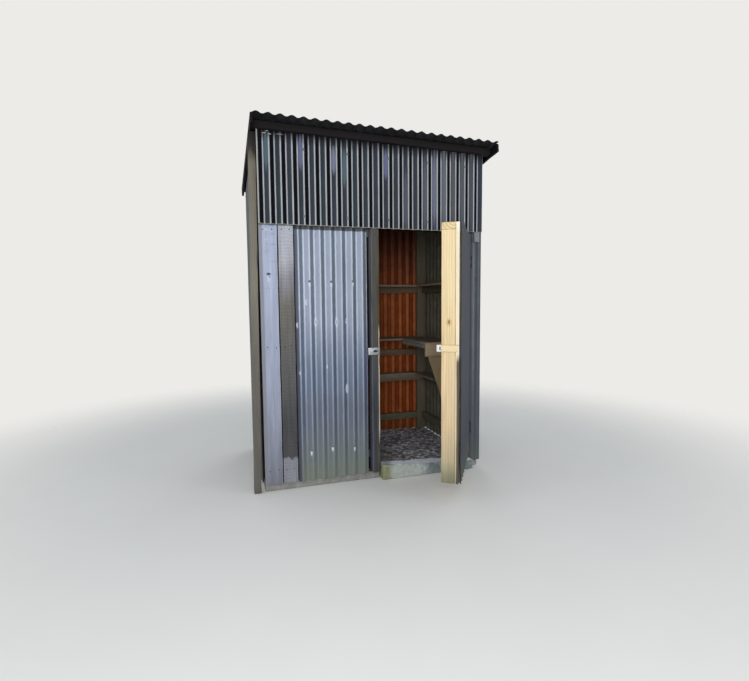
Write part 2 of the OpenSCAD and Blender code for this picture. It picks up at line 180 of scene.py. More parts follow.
def coverBands(add, colour, bands, coords, patch):
    for strip in bands:
        cover = None
        for axis, start, end in strip["where"]:
            value = passFrom(add, patch, strip["ragged"], coords[axis], start, end)
            cover = add("Math", {0: cover, 1: value}, operation="MULTIPLY") if cover else value
        cover = add("Math", {0: cover, 1: strip["cover"]}, operation="MULTIPLY")
        colour = add("Mix", {"Factor": cover, "A": colour, "B": linear(strip["colour"])}, data_type="RGBA")
    return colour


def coverMarks(add, colour, marks, coords, rough):
    for oval in marks:
        reach = []
        for axis, middle, half in oval["where"]:
            gap = add("Math", {0: coords[axis], 1: middle / 1000}, operation="SUBTRACT")
            reach.append(add("Math", {0: gap, 1: 1000 / half}, operation="MULTIPLY"))
        away = add("CombineXYZ", {"X": reach[0], "Y": reach[1]})
        away = add("VectorMath", {0: away}, operation="LENGTH", out="Value")
        away = add("Math", {0: rough, 1: oval["ragged"], 2: away}, operation="MULTIPLY_ADD")
        edge = 1 + oval["ragged"] / 2
        cover = add("MapRange", {"Value": away, "From Min": edge, "From Max": edge - oval["soft"],
                                 "To Max": oval["cover"]})
        colour = add("Mix", {"Factor": cover, "A": colour, "B": linear(oval["colour"])}, data_type="RGBA")
    return colour


def swing(add, pattern, share):
    # a noise as a factor that swings about 1 by up to a share
    return add("MapRange", {"Value": pattern, "From Min": 0.3, "From Max": 0.7, "To Min": 1 - share,
                            "To Max": 1 + share})


# cells of each pattern in a metre, so 22 makes one each 45 mm and 420 one each 2.4 mm
ironCells = {"waver": 22, "tint": 13, "streak": 160, "cloud": 5, "scuff": 95, "ragged": 14, "paint": 9, "skin": 420}
woodCells = {"warp": 9, "patch": 22, "flake": 60}
concreteCells = {"cement": 18, "runs": 60, "moss": 16, "pits": 140}
coatCells = {"spangle": 180, "bloom": 60, "grime": 90, "peel": 600}


def paintedIron(name, look):
    # Rolled galvanised steel under old house paint: a soft sheen, painted highlight lines along every crest and
    # trough with painted shade on one flank, and run-off streaks down the sheet
    material, add, shader = startMaterial(name)
    flat = add("Attribute", {}, attribute_name="flat", out="Vector")
    inner = add("Attribute", {}, attribute_name="inner", out="Fac")
    across, along = add("SeparateXYZ", {0: flat}, out="all")[:2]
    sheet = add("VectorMath", {0: flat, 1: (1, 1, 0)}, operation="MULTIPLY")
    runs = add("VectorMath", {0: flat, 1: (1, 0.02, 0)}, operation="MULTIPLY")
    slanted = add("Math", {0: across, 1: leanTan, 2: along}, operation="MULTIPLY_ADD")
    coords = {"across": across, "along": along, "slanted": slanted}
    # 0 on a crest, 0.5 in the trough beside it; the painted highlight lines waver by a few millimetres down the sheet
    waver = add("TexNoise", {"Vector": sheet, "Scale": ironCells["waver"], "Detail": 3})
    waver = add("MapRange", {"Value": waver, "To Min": -look["waver"], "To Max": look["waver"]})
    shape = add("Math", {0: across, 1: 1 / sheetRoll["pitch"], 2: waver}, operation="MULTIPLY_ADD")
    shape = add("Math", {0: shape}, operation="FRACT")
    # the profile paints highlight lines and shade across each corrugation, and lower profiles take over further down
    colour = add("ValToRGB", {"Fac": shape}, stops=look["profile"])
    for profile, start, end in look["lower"]:
        low = add("ValToRGB", {"Fac": shape}, stops=profile)
        share = add("MapRange", {"Value": along, "From Min": start, "From Max": end}, interpolation_type="SMOOTHSTEP")
        colour = add("Mix", {"Factor": share, "A": colour, "B": low}, data_type="RGBA")
    # each corrugation takes its own faint tint, about one 76 mm pitch wide
    tint = add("TexNoise", {"Vector": runs, "Scale": ironCells["tint"], "Detail": 1})
    tint = add("ValToRGB", {"Fac": tint}, stops=look["tints"])
    colour = add("Mix", {"Factor": look["tint"], "A": colour, "B": tint}, data_type="RGBA", blend_type="SOFT_LIGHT")
    # run-off streaks 4 to 8 mm wide, drawn as coarse as they need to show
    streak = add("TexNoise", {"Vector": runs, "Scale": ironCells["streak"], "Detail": 3, "Roughness": 0.6})
    streak = swing(add, streak, look["streak"])
    cloud = add("TexNoise", {"Vector": sheet, "Scale": ironCells["cloud"], "Detail": 5, "Roughness": 0.6})
    cloud = swing(add, cloud, look["cloud"])
    shade = add("Math", {0: streak, 1: cloud}, operation="MULTIPLY")
    colour = add("VectorMath", {0: colour, "Scale": shade}, operation="SCALE")
    # chalky scuffs of bare paint, 3 to 10 mm
    scuff = add("TexNoise", {"Vector": sheet, "Scale": ironCells["scuff"], "Detail": 6, "Roughness": 0.75})
    chalk = add("MapRange", {"Value": scuff, "From Min": look["scuffFrom"], "From Max": look["scuffFrom"] + 0.05,
                             "To Max": 0.8})
    colour = add("Mix", {"Factor": chalk, "A": colour, "B": linear(look["scuff"])}, data_type="RGBA")
    ragged = add("TexNoise", {"Vector": sheet, "Scale": ironCells["ragged"], "Detail": 5, "Roughness": 0.65})
    colour = coverBands(add, colour, look["bands"], coords, ragged)
    colour = coverMarks(add, colour, look["marks"], coords, scuff)
    # the side that faces the room
    paint = add("TexNoise", {"Vector": sheet, "Scale": ironCells["paint"], "Detail": 6, "Roughness": 0.7})
    paint = add("ValToRGB", {"Fac": paint}, stops=look["inside"])
    paint = add("VectorMath", {0: paint, "Scale": shade}, operation="SCALE")
    # insideProfile darkens the room side in lines along the corrugations: painted shade
    deep = add("ValToRGB", {"Fac": shape}, stops=look["insideProfile"])
    paint = add("Mix", {"Factor": 1.0, "A": paint, "B": deep}, data_type="RGBA", blend_type="MULTIPLY")
    paint = coverBands(add, paint, look["insideBands"], coords, ragged)
    colour = add("Mix", {"Factor": inner, "A": colour, "B": paint}, data_type="RGBA")
    rough = add("MapRange", {"Value": cloud, "From Min": 0.8, "From Max": 1.2, "To Min": look["rough"] - 0.06,
                             "To Max": look["rough"] + 0.1})
    fine = add("TexNoise", {"Vector": sheet, "Scale": ironCells["skin"], "Detail": 2})
    bump = add("Bump", {"Height": fine, "Strength": 0.12, "Distance": 0.001})
    plug(shader, {"Base Color": colour, "Roughness": rough, "Normal": bump, "Specular IOR Level": look["sheen"]})
    return material


def sawnTimber(name, look):
    # Sawn softwood, new or long in the weather: broad growth rings, fibre along the board, marks of the saw across
    # it, and grey weathering or worn paint on top
    material, add, shader = startMaterial(name)
    grain = add("Attribute", {}, attribute_name="grain", out="Vector")
    place = add("Attribute", {}, attribute_name="place", out="Vector")
    x, y, z = add("SeparateXYZ", {0: place}, out="all")
    # the trunk's middle lies beside the board, and the rings wander along it
    slow = add("VectorMath", {0: grain, 1: (1, 1, 0.09)}, operation="MULTIPLY")
    warp = add("TexNoise", {"Vector": slow, "Scale": woodCells["warp"], "Detail": 2}, out="Color")
    warp = add("VectorMath", {0: warp, 1: (0.5, 0.5, 0.5)}, operation="SUBTRACT")
    warp = add("VectorMath", {0: warp, "Scale": look["wander"] / 1000}, operation="SCALE")
    bent = add("VectorMath", {0: grain, 1: warp}, operation="ADD")
    bent = add("VectorMath", {0: bent, 1: (1, 1, 0)}, operation="MULTIPLY")
    radius = add("VectorMath", {0: bent}, operation="LENGTH", out="Value")
    ring = add("Math", {0: radius, 1: 1000 / look["ring"]}, operation="MULTIPLY")
    ring = add("Math", {0: ring}, operation="FRACT")
    ring = add("ValToRGB", {"Fac": ring}, stops=[(0, "#000000"), (0.5, "#303030"), (0.85, "#ffffff"), (1, "#000000")])
    fibre = add("VectorMath", {0: grain, 1: (1, 1, 0.025)}, operation="MULTIPLY")
    fibre = add("TexNoise", {"Vector": fibre, "Scale": 1000 / look["fibreStep"], "Detail": 4, "Roughness": 0.65})
    # weathering changes with the height above the ground
    patch = add("TexNoise", {"Vector": slow, "Scale": woodCells["patch"], "Detail": 5, "Roughness": 0.65})
    low, high = look["tones"][0][0], look["tones"][-1][0]
    level = passFrom(add, patch, look["ragged"], z, low, high)
    colour = add("ValToRGB", {"Fac": level}, stops=[((h - low) / (high - low), code) for h, code in look["tones"]])
    dark = add("MapRange", {"Value": ring, "To Min": 1, "To Max": 1 - look["contrast"]})
    # marks of a circular saw across the board; at scale 1 the wave texture has one band each tau / 20
    saw = add("TexWave", {"Vector": grain, "Scale": math.tau / 20 / (look["sawStep"] / 1000), "Distortion": 6,
                          "Detail": 2, "Detail Scale": 1.2}, bands_direction="Z", wave_profile="SAW", out="Fac")
    cut = add("MapRange", {"Value": saw, "To Min": 1 - look["sawMark"], "To Max": 1 + look["sawMark"]})
    for factor in (dark, swing(add, fibre, look["fibre"]), swing(add, patch, look["stain"]), cut):
        colour = add("VectorMath", {0: colour, "Scale": factor}, operation="SCALE")
    coords = {"x": x, "y": y, "z": z}
    colour = coverBands(add, colour, look["bands"], coords, patch)
    colour = coverMarks(add, colour, look["marks"], coords, fibre)
    if look["flake"]:
        # flakes of the last paint that still hold, 4 to 15 mm
        flake = add("VectorMath", {0: grain, 1: (1, 1, 0.35)}, operation="MULTIPLY")
        flake = add("TexNoise", {"Vector": flake, "Scale": woodCells["flake"], "Detail": 6, "Roughness": 0.7})
        flake = add("MapRange", {"Value": flake, "From Min": look["flakeFrom"], "From Max": look["flakeFrom"] + 0.04,
                                 "To Max": 0.8})
        colour = add("Mix", {"Factor": flake, "A": colour, "B": linear(look["flake"])}, data_type="RGBA")
    rough = add("MapRange", {"Value": fibre, "To Min": look["rough"] - 0.08, "To Max": look["rough"] + 0.12})
    relief = add("Math", {0: saw, 1: look["sawMark"] * 6, 2: fibre}, operation="MULTIPLY_ADD")
    bump = add("Bump", {"Height": relief, "Strength": look["bump"], "Distance": 0.0012})
    plug(shader, {"Base Color": colour, "Roughness": rough, "Normal": bump, "Specular IOR Level": look["sheen"]})
    return material


def castConcrete(name, look):
    # Site-mixed concrete left rough from the shovel: pale cement, stones under the skin,
    # and green-yellow moss where it stays damp
    material, add, shader = startMaterial(name)
    place = add("Attribute", {}, attribute_name="place", out="Vector")
    coords = dict(zip("xyz", add("SeparateXYZ", {0: place}, out="all")))
    cement = add("TexNoise", {"Vector": place, "Scale": concreteCells["cement"], "Detail": 8, "Roughness": 0.7})
    colour = add("ValToRGB", {"Fac": cement}, stops=look["cement"])
    # stones show through as cells, stoneStep mm apart
    distance, cell = add("TexVoronoi", {"Vector": place, "Scale": 1000 / look["stoneStep"]}, out="all")[:2]
    pick = add("SeparateColor", {0: cell}, out="all")[0]
    stone = add("ValToRGB", {"Fac": pick}, stops=look["stones"])
    colour = add("Mix", {"Factor": look["stoneCover"], "A": colour, "B": stone}, data_type="RGBA")
    grit = add("MapRange", {"Value": distance, "From Min": 0.1, "From Max": 0.6, "To Min": 1.1,
                            "To Max": look["gap"]})
    colour = add("VectorMath", {0: colour, "Scale": grit}, operation="SCALE")
    runs = add("VectorMath", {0: place, 1: (1, 1, 0.12)}, operation="MULTIPLY")
    runs = add("TexNoise", {"Vector": runs, "Scale": concreteCells["runs"], "Detail": 4, "Roughness": 0.65})
    colour = add("VectorMath", {0: colour, "Scale": swing(add, runs, look["runs"])}, operation="SCALE")
    moss = add("TexNoise", {"Vector": place, "Scale": concreteCells["moss"], "Detail": 7, "Roughness": 0.7})
    colour = coverBands(add, colour, look["bands"], coords, moss)
    pits = add("TexNoise", {"Vector": place, "Scale": concreteCells["pits"], "Detail": 4, "Roughness": 0.7})
    relief = add("Math", {0: pits, 1: distance}, operation="SUBTRACT")
    bump = add("Bump", {"Height": relief, "Strength": 0.6, "Distance": 0.004})
    plug(shader, {"Base Color": colour, "Roughness": 0.9, "Normal": bump, "Specular IOR Level": 0.25})
    return material


def dippedZinc(name, look):
    # Hot-dip galvanised steel: flower-shaped spangle of 3 to 8 mm in close greys, a dull white bloom
    material, add, shader = startMaterial(name)
    place = add("TexCoord", {}, out="Object")
    spangle = add("TexVoronoi", {"Vector": place, "Scale": coatCells["spangle"]}, out="Color")
    tone = add("ValToRGB", {"Fac": spangle}, stops=look["tones"])
    bloom = add("TexNoise", {"Vector": place, "Scale": coatCells["bloom"], "Detail": 5})
    bloom = add("MapRange", {"Value": bloom, "From Min": 0.45, "From Max": 0.7, "To Max": look["bloom"]})
    colour = add("Mix", {"Factor": bloom, "A": tone, "B": linear(look["bloomColour"])}, data_type="RGBA")
    rough = add("MapRange", {"Value": bloom, "To Min": look["rough"], "To Max": look["rough"] + 0.25})
    plug(shader, {"Base Color": colour, "Roughness": rough, "Metallic": look["metallic"]})
    return material


def bakedEnamel(name, look):
    # Powder-coated or stove-enamelled steel: even and slightly glossy, grime where hands and rain reach
    material, add, shader = startMaterial(name)
    place = add("TexCoord", {}, out="Object")
    grime = add("TexNoise", {"Vector": place, "Scale": coatCells["grime"], "Detail": 6, "Roughness": 0.65})
    colour = add("ValToRGB", {"Fac": grime}, stops=look["tones"])
    peel = add("TexNoise", {"Vector": place, "Scale": coatCells["peel"]})
    bump = add("Bump", {"Height": peel, "Strength": 0.05, "Distance": 0.001})
    plug(shader, {"Base Color": colour, "Roughness": look["rough"], "Normal": bump,
                  "Specular IOR Level": look["sheen"]})
    return material


# pitch and depth of the corrugations, height of the face over the back plane, the metal, the room kept below and
# above the wave, and how far a dent flattens it
sheetRoll = {"pitch": 0.0762, "depth": 0.015, "skin": 0.002, "metal": 0.0009, "least": 0.0004, "spare": 0.0001,
             "dentFlat": 0.5, "dentLeast": 0.2}
lowerScrews = [(-507, 1469), (-353, 1467), (-195, 1471), (-516, 269), (-361, 284), (-196, 267)]  # x and z in mm
# crest, height and half length in mm, colour
upperStains = [(1, 480, 150, "#566b74"), (4, 480, 130, "#6e7092"), (7, 450, 110, "#7f8298"), (8, 400, 150, "#566b74"),
               (12, 450, 120, "#6e7092"), (14, 200, 260, "#565a66"), (16, 250, 330, "#5c606c"),
               (17, 300, 330, "#747890"), (18, 300, 420, "#6a6e7a"), (19, 300, 420, "#5c5a60"),
               (20, 300, 420, "#5a5e64"), (21, 300, 420, "#50545c")]
# middle and half length across, height and half length along, in mm
upperScratches = [(48, 17, 590, 4), (84, 14, 584, 5), (66, 9, 602, 3), (150, 30, 588, 2)]
upperMarks = [mark(code, 0.8, 0.5, 0.4, ("across", crest * 76.2 - 19, 15), ("along", middle, half))
              for crest, middle, half, code in upperStains]
upperMarks += [mark("#b4b4ae", 0.85, 1.2, 0.5, ("across", middle, half), ("along", height, deep))
               for middle, half, height, deep in upperScratches]
# x, z and size in mm: on each dent a pale oval of painted highlight with a darker heart of painted shade, which
# leaves two lit crescents
lowerDentHighlights = [(-531, 1340, 16), (-467, 1199, 26), (-316, 1196, 27), (-245, 1203, 15), (-247, 710, 25),
               (-599, 1180, 15), (-389, 878, 11), (-586, 845, 10)]
# a pale oval at each screw: painted highlight of the dent round it
lowerMarks = [mark("#dbe0e8", 0.85, 1.0, 0.6, ("across", x + 583, 9), ("along", z - 65, 30)) for x, z in lowerScrews]
lowerMarks += [mark(code, cover, 1.8, 0.5, ("across", x + 583 + shift, size / 2 * part),
                    ("along", z - 65, size * 1.5 * part))
               for x, z, size in lowerDentHighlights
               for shift, part, cover, code in ((0, 1, 0.85, "#dfe3eb"), (2, 0.62, 0.75, "#8b92a2"))]
# the lower iron's stripes of painted highlight and painted shade at half its height and at its foot
middleProfile = [(0, "#a2acbe"), (0.05, "#98a2b4"), (0.12, "#5f697d"), (0.40, "#5f697d"), (0.46, "#98a2b4"),
                 (0.53, "#9ca6b8"), (0.61, "#6b7688"), (0.90, "#6b7688"), (1, "#a2acbe")]
footProfile = [(0, "#8e95a4"), (0.06, "#868d9c"), (0.13, "#5f6774"), (0.39, "#5f6774"), (0.46, "#838a98"),
               (0.53, "#888f9c"), (0.62, "#656b79"), (0.90, "#656b79"), (1, "#8e95a4")]
darkInside = [(0.3, "#4a4b4c"), (0.7, "#6a6b6b")]
greenFoot = band("#5c6152", 0.5, 0.2, ("along", 0.2, 0.0))
# profile: colours from one crest to the next, with the trough at 0.5: painted highlight lines and painted shade.
# waver: how far they wander, in pitches. streak, cloud: strength of the run-off and of the blotches. scuffFrom:
# higher leaves fewer scuffs. lower: profiles further down, each with the heights where it starts and where it is full
ironBase = {
    "profile": [(0, "#54585f"), (0.14, "#5a5e65"), (0.24, "#83868d"), (0.32, "#2d3137"), (0.68, "#2d3137"),
        (0.76, "#83868d"), (0.86, "#5a5e65"), (1, "#54585f")],
    "tints": [(0.38, "#7a7c98"), (0.5, "#80858c"), (0.62, "#647a84")], "tint": 0.3, "waver": 0.04, "streak": 0.14,
    "cloud": 0.12, "scuffFrom": 0.7,
    "scuff": "#a8aaaf", "rough": 0.5, "sheen": 0.28, "lower": [], "marks": [],
    "bands": [band("#6a7050", 0.55, 0.3, ("along", 0.25, 0.0))], "inside": [(0.3, "#6f6c5c"), (0.7, "#8d8a7c")],
    "insideBands": [], "insideProfile": [(0, "#ffffff"), (0.5, "#b4b4b4"), (1, "#ffffff")]}
ironLooks = {
    "upperIron": {
        "profile": [(0, "#bcbdbd"), (0.045, "#b4b5b6"), (0.10, "#0b0d13"), (0.42, "#0b0d13"), (0.47, "#b4b5b6"),
            (0.53, "#bcbdbd"), (0.58, "#3b3f46"), (0.92, "#40444b"), (0.965, "#b4b5b6"), (1, "#bcbdbd")],
        "tint": 0.5, "waver": 0.014, "scuffFrom": 0.69, "scuff": "#a9aaaf", "sheen": 0.08, "rough": 0.6,
        # a near-black strip along the top is painted shadow of the eave; the pale strips on the left and bottom edges
        # are painted highlight where the cut edges catch the light
        "bands": [band("#0c0d11", 0.9, 0.06, ("slanted", 0.53, 0.60)),
            band("#a09f97", 0.8, 0.003, ("across", 0.005, 0.002)),
            band("#9a9781", 0.75, 0.005, ("along", 0.006, 0.003))],
        "marks": upperMarks},
    "lowerIron": {
        "profile": [(0, "#c8d0dc"), (0.05, "#c0c8d4"), (0.11, "#717b89"), (0.41, "#717b89"), (0.46, "#c0c8d4"),
            (0.53, "#c8d0dc"), (0.60, "#9da3b3"), (0.92, "#9da3b3"), (1, "#c8d0dc")],
        "lower": [(middleProfile, 1.30, 0.70), (footProfile, 0.75, 0.5)], "tint": 0.25, "streak": 0.07, "cloud": 0.07,
        "scuffFrom": 0.71, "scuff": "#d5dae2", "rough": 0.5, "inside": darkInside,
        "bands": [band("#6f756e", 0.6, 0.16, ("along", 0.42, 0.16)), band("#737a6c", 0.7, 0.1, ("along", 0.15, 0.04)),
            # a dark strip at the left edge is painted shade beside the board, and a dark line under the lap is
            # painted shadow of the upper iron
            band("#3c4050", 0.8, 0.006, ("across", 0.002, -0.006)),
            band("#1f2229", 0.85, 0.004, ("along", 1.769, 1.776))],
        "marks": lowerMarks},
    "doorIron": {
        "profile": [(0, "#464b54"), (0.2, "#41454e"), (0.35, "#353942"), (0.65, "#353942"), (0.8, "#41454e"),
            (1, "#464b54")],
        "streak": 0.1, "cloud": 0.1, "scuffFrom": 0.72, "scuff": "#8a909b",
        "inside": [(0.3, "#5a5c5f"), (0.7, "#77797b")],
        "bands": [band("#363a44", 0.5, 0.2, ("along", 1.2, 0.3)), greenFoot]},
    "stripIron": {
        "profile": [(0, "#43464d"), (0.08, "#383b42"), (0.2, "#4c5057"), (0.38, "#666a71"), (0.5, "#4c5057"),
            (0.62, "#555961"), (0.76, "#858990"), (0.88, "#555961"), (1, "#43464d")],
        "streak": 0.12, "cloud": 0.2, "scuffFrom": 0.62, "scuff": "#9aa0a8",
        "inside": darkInside,
        "bands": [band("#484b54", 0.6, 0.3, ("along", 1.0, 0.4)), greenFoot]},
    "sideIron": {},
    "rustIron": {
        "streak": 0.10, "cloud": 0.12, "inside": [(0.25, "#a24c1c"), (0.5, "#c46224"), (0.75, "#d67834")],
        # the room side's lines of painted shade along every crest and trough
        "insideProfile": [(0, "#5c5450"), (0.08, "#d8d8d8"), (0.25, "#ffffff"), (0.42, "#c8c8c8"), (0.5, "#706864"),
            (0.58, "#c8c8c8"), (0.75, "#f0f0f0"), (0.92, "#d8d8d8"), (1, "#5c5450")],
        # a near-black strip across the room side and a darker top of the wall are painted shade
        "insideBands": [band("#1f1a1c", 0.85, 0.06, ("across", 0.17, 0.22), ("across", 0.44, 0.39)),
            band("#38120a", 0.85, 0.2, ("along", 1.3, 1.9)), band("#5a3a24", 0.6, 0.2, ("along", 0.2, 0.0))]},
    "roofIron": {
        "profile": [(0, "#17151b"), (0.5, "#0b0a0d"), (1, "#17151b")], "streak": 0.2, "cloud": 0.25,
        "scuffFrom": 0.74, "scuff": "#3d3c40", "rough": 0.8, "sheen": 0.08,
        "inside": [(0.3, "#2a2a2c"), (0.7, "#3b3b3d")], "bands": [band("#2a2c26", 0.5, 0.03, ("along", 0.03, 0.0))]},
}
iron = {name: paintedIron(name, {**ironBase, **look}) for name, look in ironLooks.items()}

# the shadow of the upper iron on the boards under it
lapShadow = band("#2b2e38", 0.75, 0.006, ("z", 1.838, 1.846))
# fibreStep, ring, sawStep: spacing of the fibres, the growth rings and the marks of the saw, in mm. wander: how far
# the rings stray, in mm. tones: colours by height in metres, and ragged: how far their borders wander. contrast,
# fibre, stain, sawMark: strength of the rings, the fibres, the blotches and the saw. flakeFrom: higher leaves less
# of the paint called flake
plainTimber = {
    "fibreStep": 3, "wander": 14, "ring": 9, "ragged": 0.3, "contrast": 0.25, "fibre": 0.12, "stain": 0.12,
    "sawStep": 15, "sawMark": 0.03, "rough": 0.75, "bump": 0.3, "sheen": 0.25, "bands": [], "marks": [],
    "flake": None}
pineTones = [(0.12, "#77755c"), (0.19, "#8a856c"), (0.28, "#b2a584"), (0.52, "#d2b994"), (0.78, "#dcc29c"),
             (1.08, "#e1c799"), (1.4, "#e9d1a5"), (1.8, "#e9d1a5")]
# x and z in mm: smears of the brush across the painted board
brushMarks = [(-768, 1838, "#737a8a"), (-790, 1812, "#c6cbd8"), (-760, 1784, "#7b8292"), (-782, 1748, "#bfc5d4"),
              (-756, 1716, "#80879a"), (-786, 1668, "#8a90a2"), (-762, 1600, "#858b9e"), (-790, 1420, "#868ca0")]
boardMarks = [mark("#c3c8d6", 0.7, 1.2, 0.5, ("x", -784, 15), ("z", 1488, 34)),
              mark("#353a42", 0.9, 0.9, 0.35, ("x", -784, 19), ("z", 1516, 11)),
              mark("#5d646e", 0.8, 0.9, 0.4, ("x", -779, 7), ("z", 1497, 7))]
boardMarks += [mark(code, 0.5, 3.5, 1.2, ("x", x, 36), ("z", height, 10)) for x, height, code in brushMarks]
timberLooks = {
    "framePost": {"tones": [(0, "#6f6654"), (0.5, "#7f7462"), (2.5, "#6e6556")]},
    # jambPost: dark blue-grey, painted shade for the posts and rails seen through the gaps of the front
    "jambPost": {"tones": [(0, "#34353c"), (1.2, "#35373f"), (1.9, "#54524c")], "contrast": 0.15},
    "sideRail": {"tones": [(0, "#75766a"), (0.3, "#6d675a"), (2.5, "#5c5346")]},
    "backRail": {"tones": [(0.1, "#6a6c5a"), (0.4, "#7a6e5c"), (1.0, "#7d6650"), (2.5, "#6e6456")], "stain": 0.25},
    # darkBeam: near black, and darker from 2.1 m up: painted shade under the eave
    "darkBeam": {
        "tones": [(0, "#242022"), (2.1, "#1a1719"), (2.2, "#100e10"), (3, "#0e0c0e")], "contrast": 0.1,
        "sheen": 0.06},
    # cornerPost: near black from 2.33 m up: painted shadow of the eave on the post's top
    "cornerPost": {
        "fibreStep": 7,
        "tones": [(0, "#5f5b55"), (0.9, "#6a655f"), (1.4, "#7c776c"), (2.25, "#736d60"), (2.33, "#2c2a27"),
            (2.4, "#1f1d1c")],
        "contrast": 0.2},
    "paintedBoard": {
        "tones": [(0, "#70727c"), (0.4, "#868a99"), (0.9, "#9aa0b4"), (1.9, "#a8b0c6")], "contrast": 0.04, "ring": 23,
        "wander": 40, "bump": 0.12, "fibre": 0.09, "fibreStep": 9, "sawMark": 0.03, "stain": 0.13, "flake": "#c9cdd8",
        "flakeFrom": 0.68,
        "bands": [band("#7a7b80", 0.75, 0.014, ("x", -0.819, -0.823)),
            # a pale line on the board's right arris: painted highlight
            band("#d2d8e4", 0.5, 0.001, ("x", -0.7262, -0.7245)), lapShadow],
        "marks": boardMarks},
    "sawnBoard": {
        "ring": 37, "wander": 40, "fibreStep": 14, "sawStep": 23,
        "tones": [(0.0, "#85868e"), (0.218, "#85868e"), (0.228, "#4a484b"), (0.46, "#454547"), (1.0, "#5c5b5a"),
            (1.3, "#696660"), (1.5, "#85838a"), (1.62, "#a0a0a6"), (1.87, "#a9abb8")],
        "ragged": 0.12, "sawMark": 0.10, "fibre": 0.16, "contrast": 0.05, "stain": 0.16,
        "bands": [lapShadow]},
    "jambBoard": {
        "fibreStep": 8,
        "tones": [(0.05, "#45464c"), (0.3, "#42434a"), (0.52, "#363940"), (0.78, "#41434b"), (1.0, "#504d4a"),
            (1.5, "#54524c"), (1.87, "#504e4c")],
        "stain": 0.2, "contrast": 0.3,
        "bands": [band("#6a7080", 0.5, 0.006, ("x", -0.050, -0.056)),
            band("#55503c", 0.5, 0.02, ("x", -0.028, -0.020), ("x", -0.002, -0.008)),
            band("#c4bfb4", 0.95, 0.004, ("x", -0.010, -0.006), ("z", 1.16, 1.10), ("z", 0.26, 0.34))],
        "flake": "#8b887e", "flakeFrom": 0.68},
    "upperShelf": {
        "tones": [(0, "#9c8b76"), (3, "#9c8b76")], "stain": 0.25,
        "bands": [band("#a8683a", 0.8, 0.02, ("x", -0.05, -0.12), ("y", 0.41, 0.40))]},
    "backBench": {"tones": [(0, "#7f7563"), (2, "#8f867a")], "stain": 0.25},
    "rightBench": {
        "tones": [(0, "#9aa096"), (0.93, "#9aa096"), (0.965, "#989389"), (2, "#989389")], "stain": 0.25,
        "ragged": 0.004, "bands": [band("#5d4a48", 0.6, 0.05, ("x", 0.53, 0.60), ("z", 0.972, 0.976))]},
    "endBoard": {"tones": [(0, "#a38b73"), (2, "#b09a80")], "stain": 0.2},
    "braceBoard": {"tones": [(0, "#927a58"), (1, "#a08d6e")], "stain": 0.15},
    "lowerShelf": {
        "tones": [(0, "#857868"), (0.57, "#877a6a"), (0.6305, "#8f8376"), (2, "#8a8490")], "ragged": 0.003,
        "stain": 0.3},
    "pineStile": {
        "fibreStep": 7, "tones": pineTones, "contrast": 0.14, "fibre": 0.09, "stain": 0.08, "rough": 0.62, "ring": 13,
        "wander": 26, "ragged": 0.06, "sawMark": 0.015,
        "bands": [band("#a08a66", 0.4, 0.001, ("y", -0.4165, -0.4145)),
            band("#b3966e", 0.7, 0.001, ("y", -0.5010, -0.5030))],
        "marks": [mark("#b78a57", 0.7, 1.0, 0.7, ("y", -462, 19), ("z", 1188, 36)),
            mark("#85603a", 0.8, 0.8, 0.5, ("y", -462, 9), ("z", 1190, 17))]},
    "pineRail": {
        "tones": [(0, "#e0c796"), (3, "#e8cf9e")], "contrast": 0.35, "fibre": 0.08, "stain": 0.05, "rough": 0.62,
        "ring": 20, "wander": 4, "ragged": 0.06},
    "pineStrip": {
        "tones": [(0.12, "#8a8870"), (0.28, "#c4b898"), (0.6, "#e6d6b4"), (1.0, "#eedfc0"), (1.76, "#f1e2c5"),
            (1.8, "#f8f0e0")],
        "contrast": 0.08, "fibre": 0.05, "stain": 0.05, "rough": 0.62,
        "bands": [band("#4b4138", 0.94, 0.008, ("y", -0.5095, -0.5125), ("z", 0.99, 0.93))]},
    "pinePacker": {
        "tones": [(0, "#ead4a8"), (3, "#ead4a8")], "contrast": 0.15, "fibre": 0.06, "stain": 0.05, "rough": 0.62,
        "ring": 8, "bands": [band("#f2eadb", 0.8, 0.002, ("y", -0.520, -0.524))]},
    "bargeBoard": {"tones": [(0, "#121013"), (3, "#121013")], "contrast": 0.1, "rough": 0.7, "sheen": 0.1},
    "blockTimber": {"tones": [(0, "#777c80"), (3, "#7f8488")], "contrast": 0.1, "flake": "#a4a8ac", "flakeFrom": 0.6},
}
timber = {name: sawnTimber(name, {**plainTimber, **look}) for name, look in timberLooks.items()}
kerbConcrete = castConcrete("kerbConcrete", {
    "cement": [(0.3, "#8f9690"), (0.5, "#b2b9b4"), (0.72, "#ccd2d2")], "stones": [(0, "#8f9694"), (1, "#b8beba")],
    "stoneStep": 22, "stoneCover": 0.25, "gap": 0.85, "runs": 0.12,
    "bands": [band("#646f74", 0.85, 0.1, ("x", 0.30, 0.40), ("y", -0.58, -0.592)),
              band("#82835a", 0.85, 0.03, ("x", 0.10, 0.05), ("z", 0.112, 0.104)),
              band("#a8b0a6", 0.6, 0.03, ("x", 0.05, 0.10), ("x", 0.30, 0.24), ("z", 0.104, 0.098)),
              # the pale top face: painted light where the sky falls on it
              band("#e6ebf6", 0.9, 0.006, ("y", -0.591, -0.587), ("x", 0.06, 0.10))]})
slabConcrete = castConcrete("slabConcrete", {
    "cement": [(0.3, "#857e78"), (0.5, "#aaa6a6"), (0.72, "#c6c6d0")],
    "stones": [(0.1, "#8a8288"), (0.5, "#d8d7e4"), (0.9, "#f8f8fd")],
    "stoneStep": 34, "stoneCover": 0.85, "gap": 0.5, "runs": 0.06,
    "bands": [band("#7d6a5e", 0.5, 0.5, ("x", 0.32, 0.02)), band("#83857f", 0.75, 0.004, ("z", 0.051, 0.046))]})
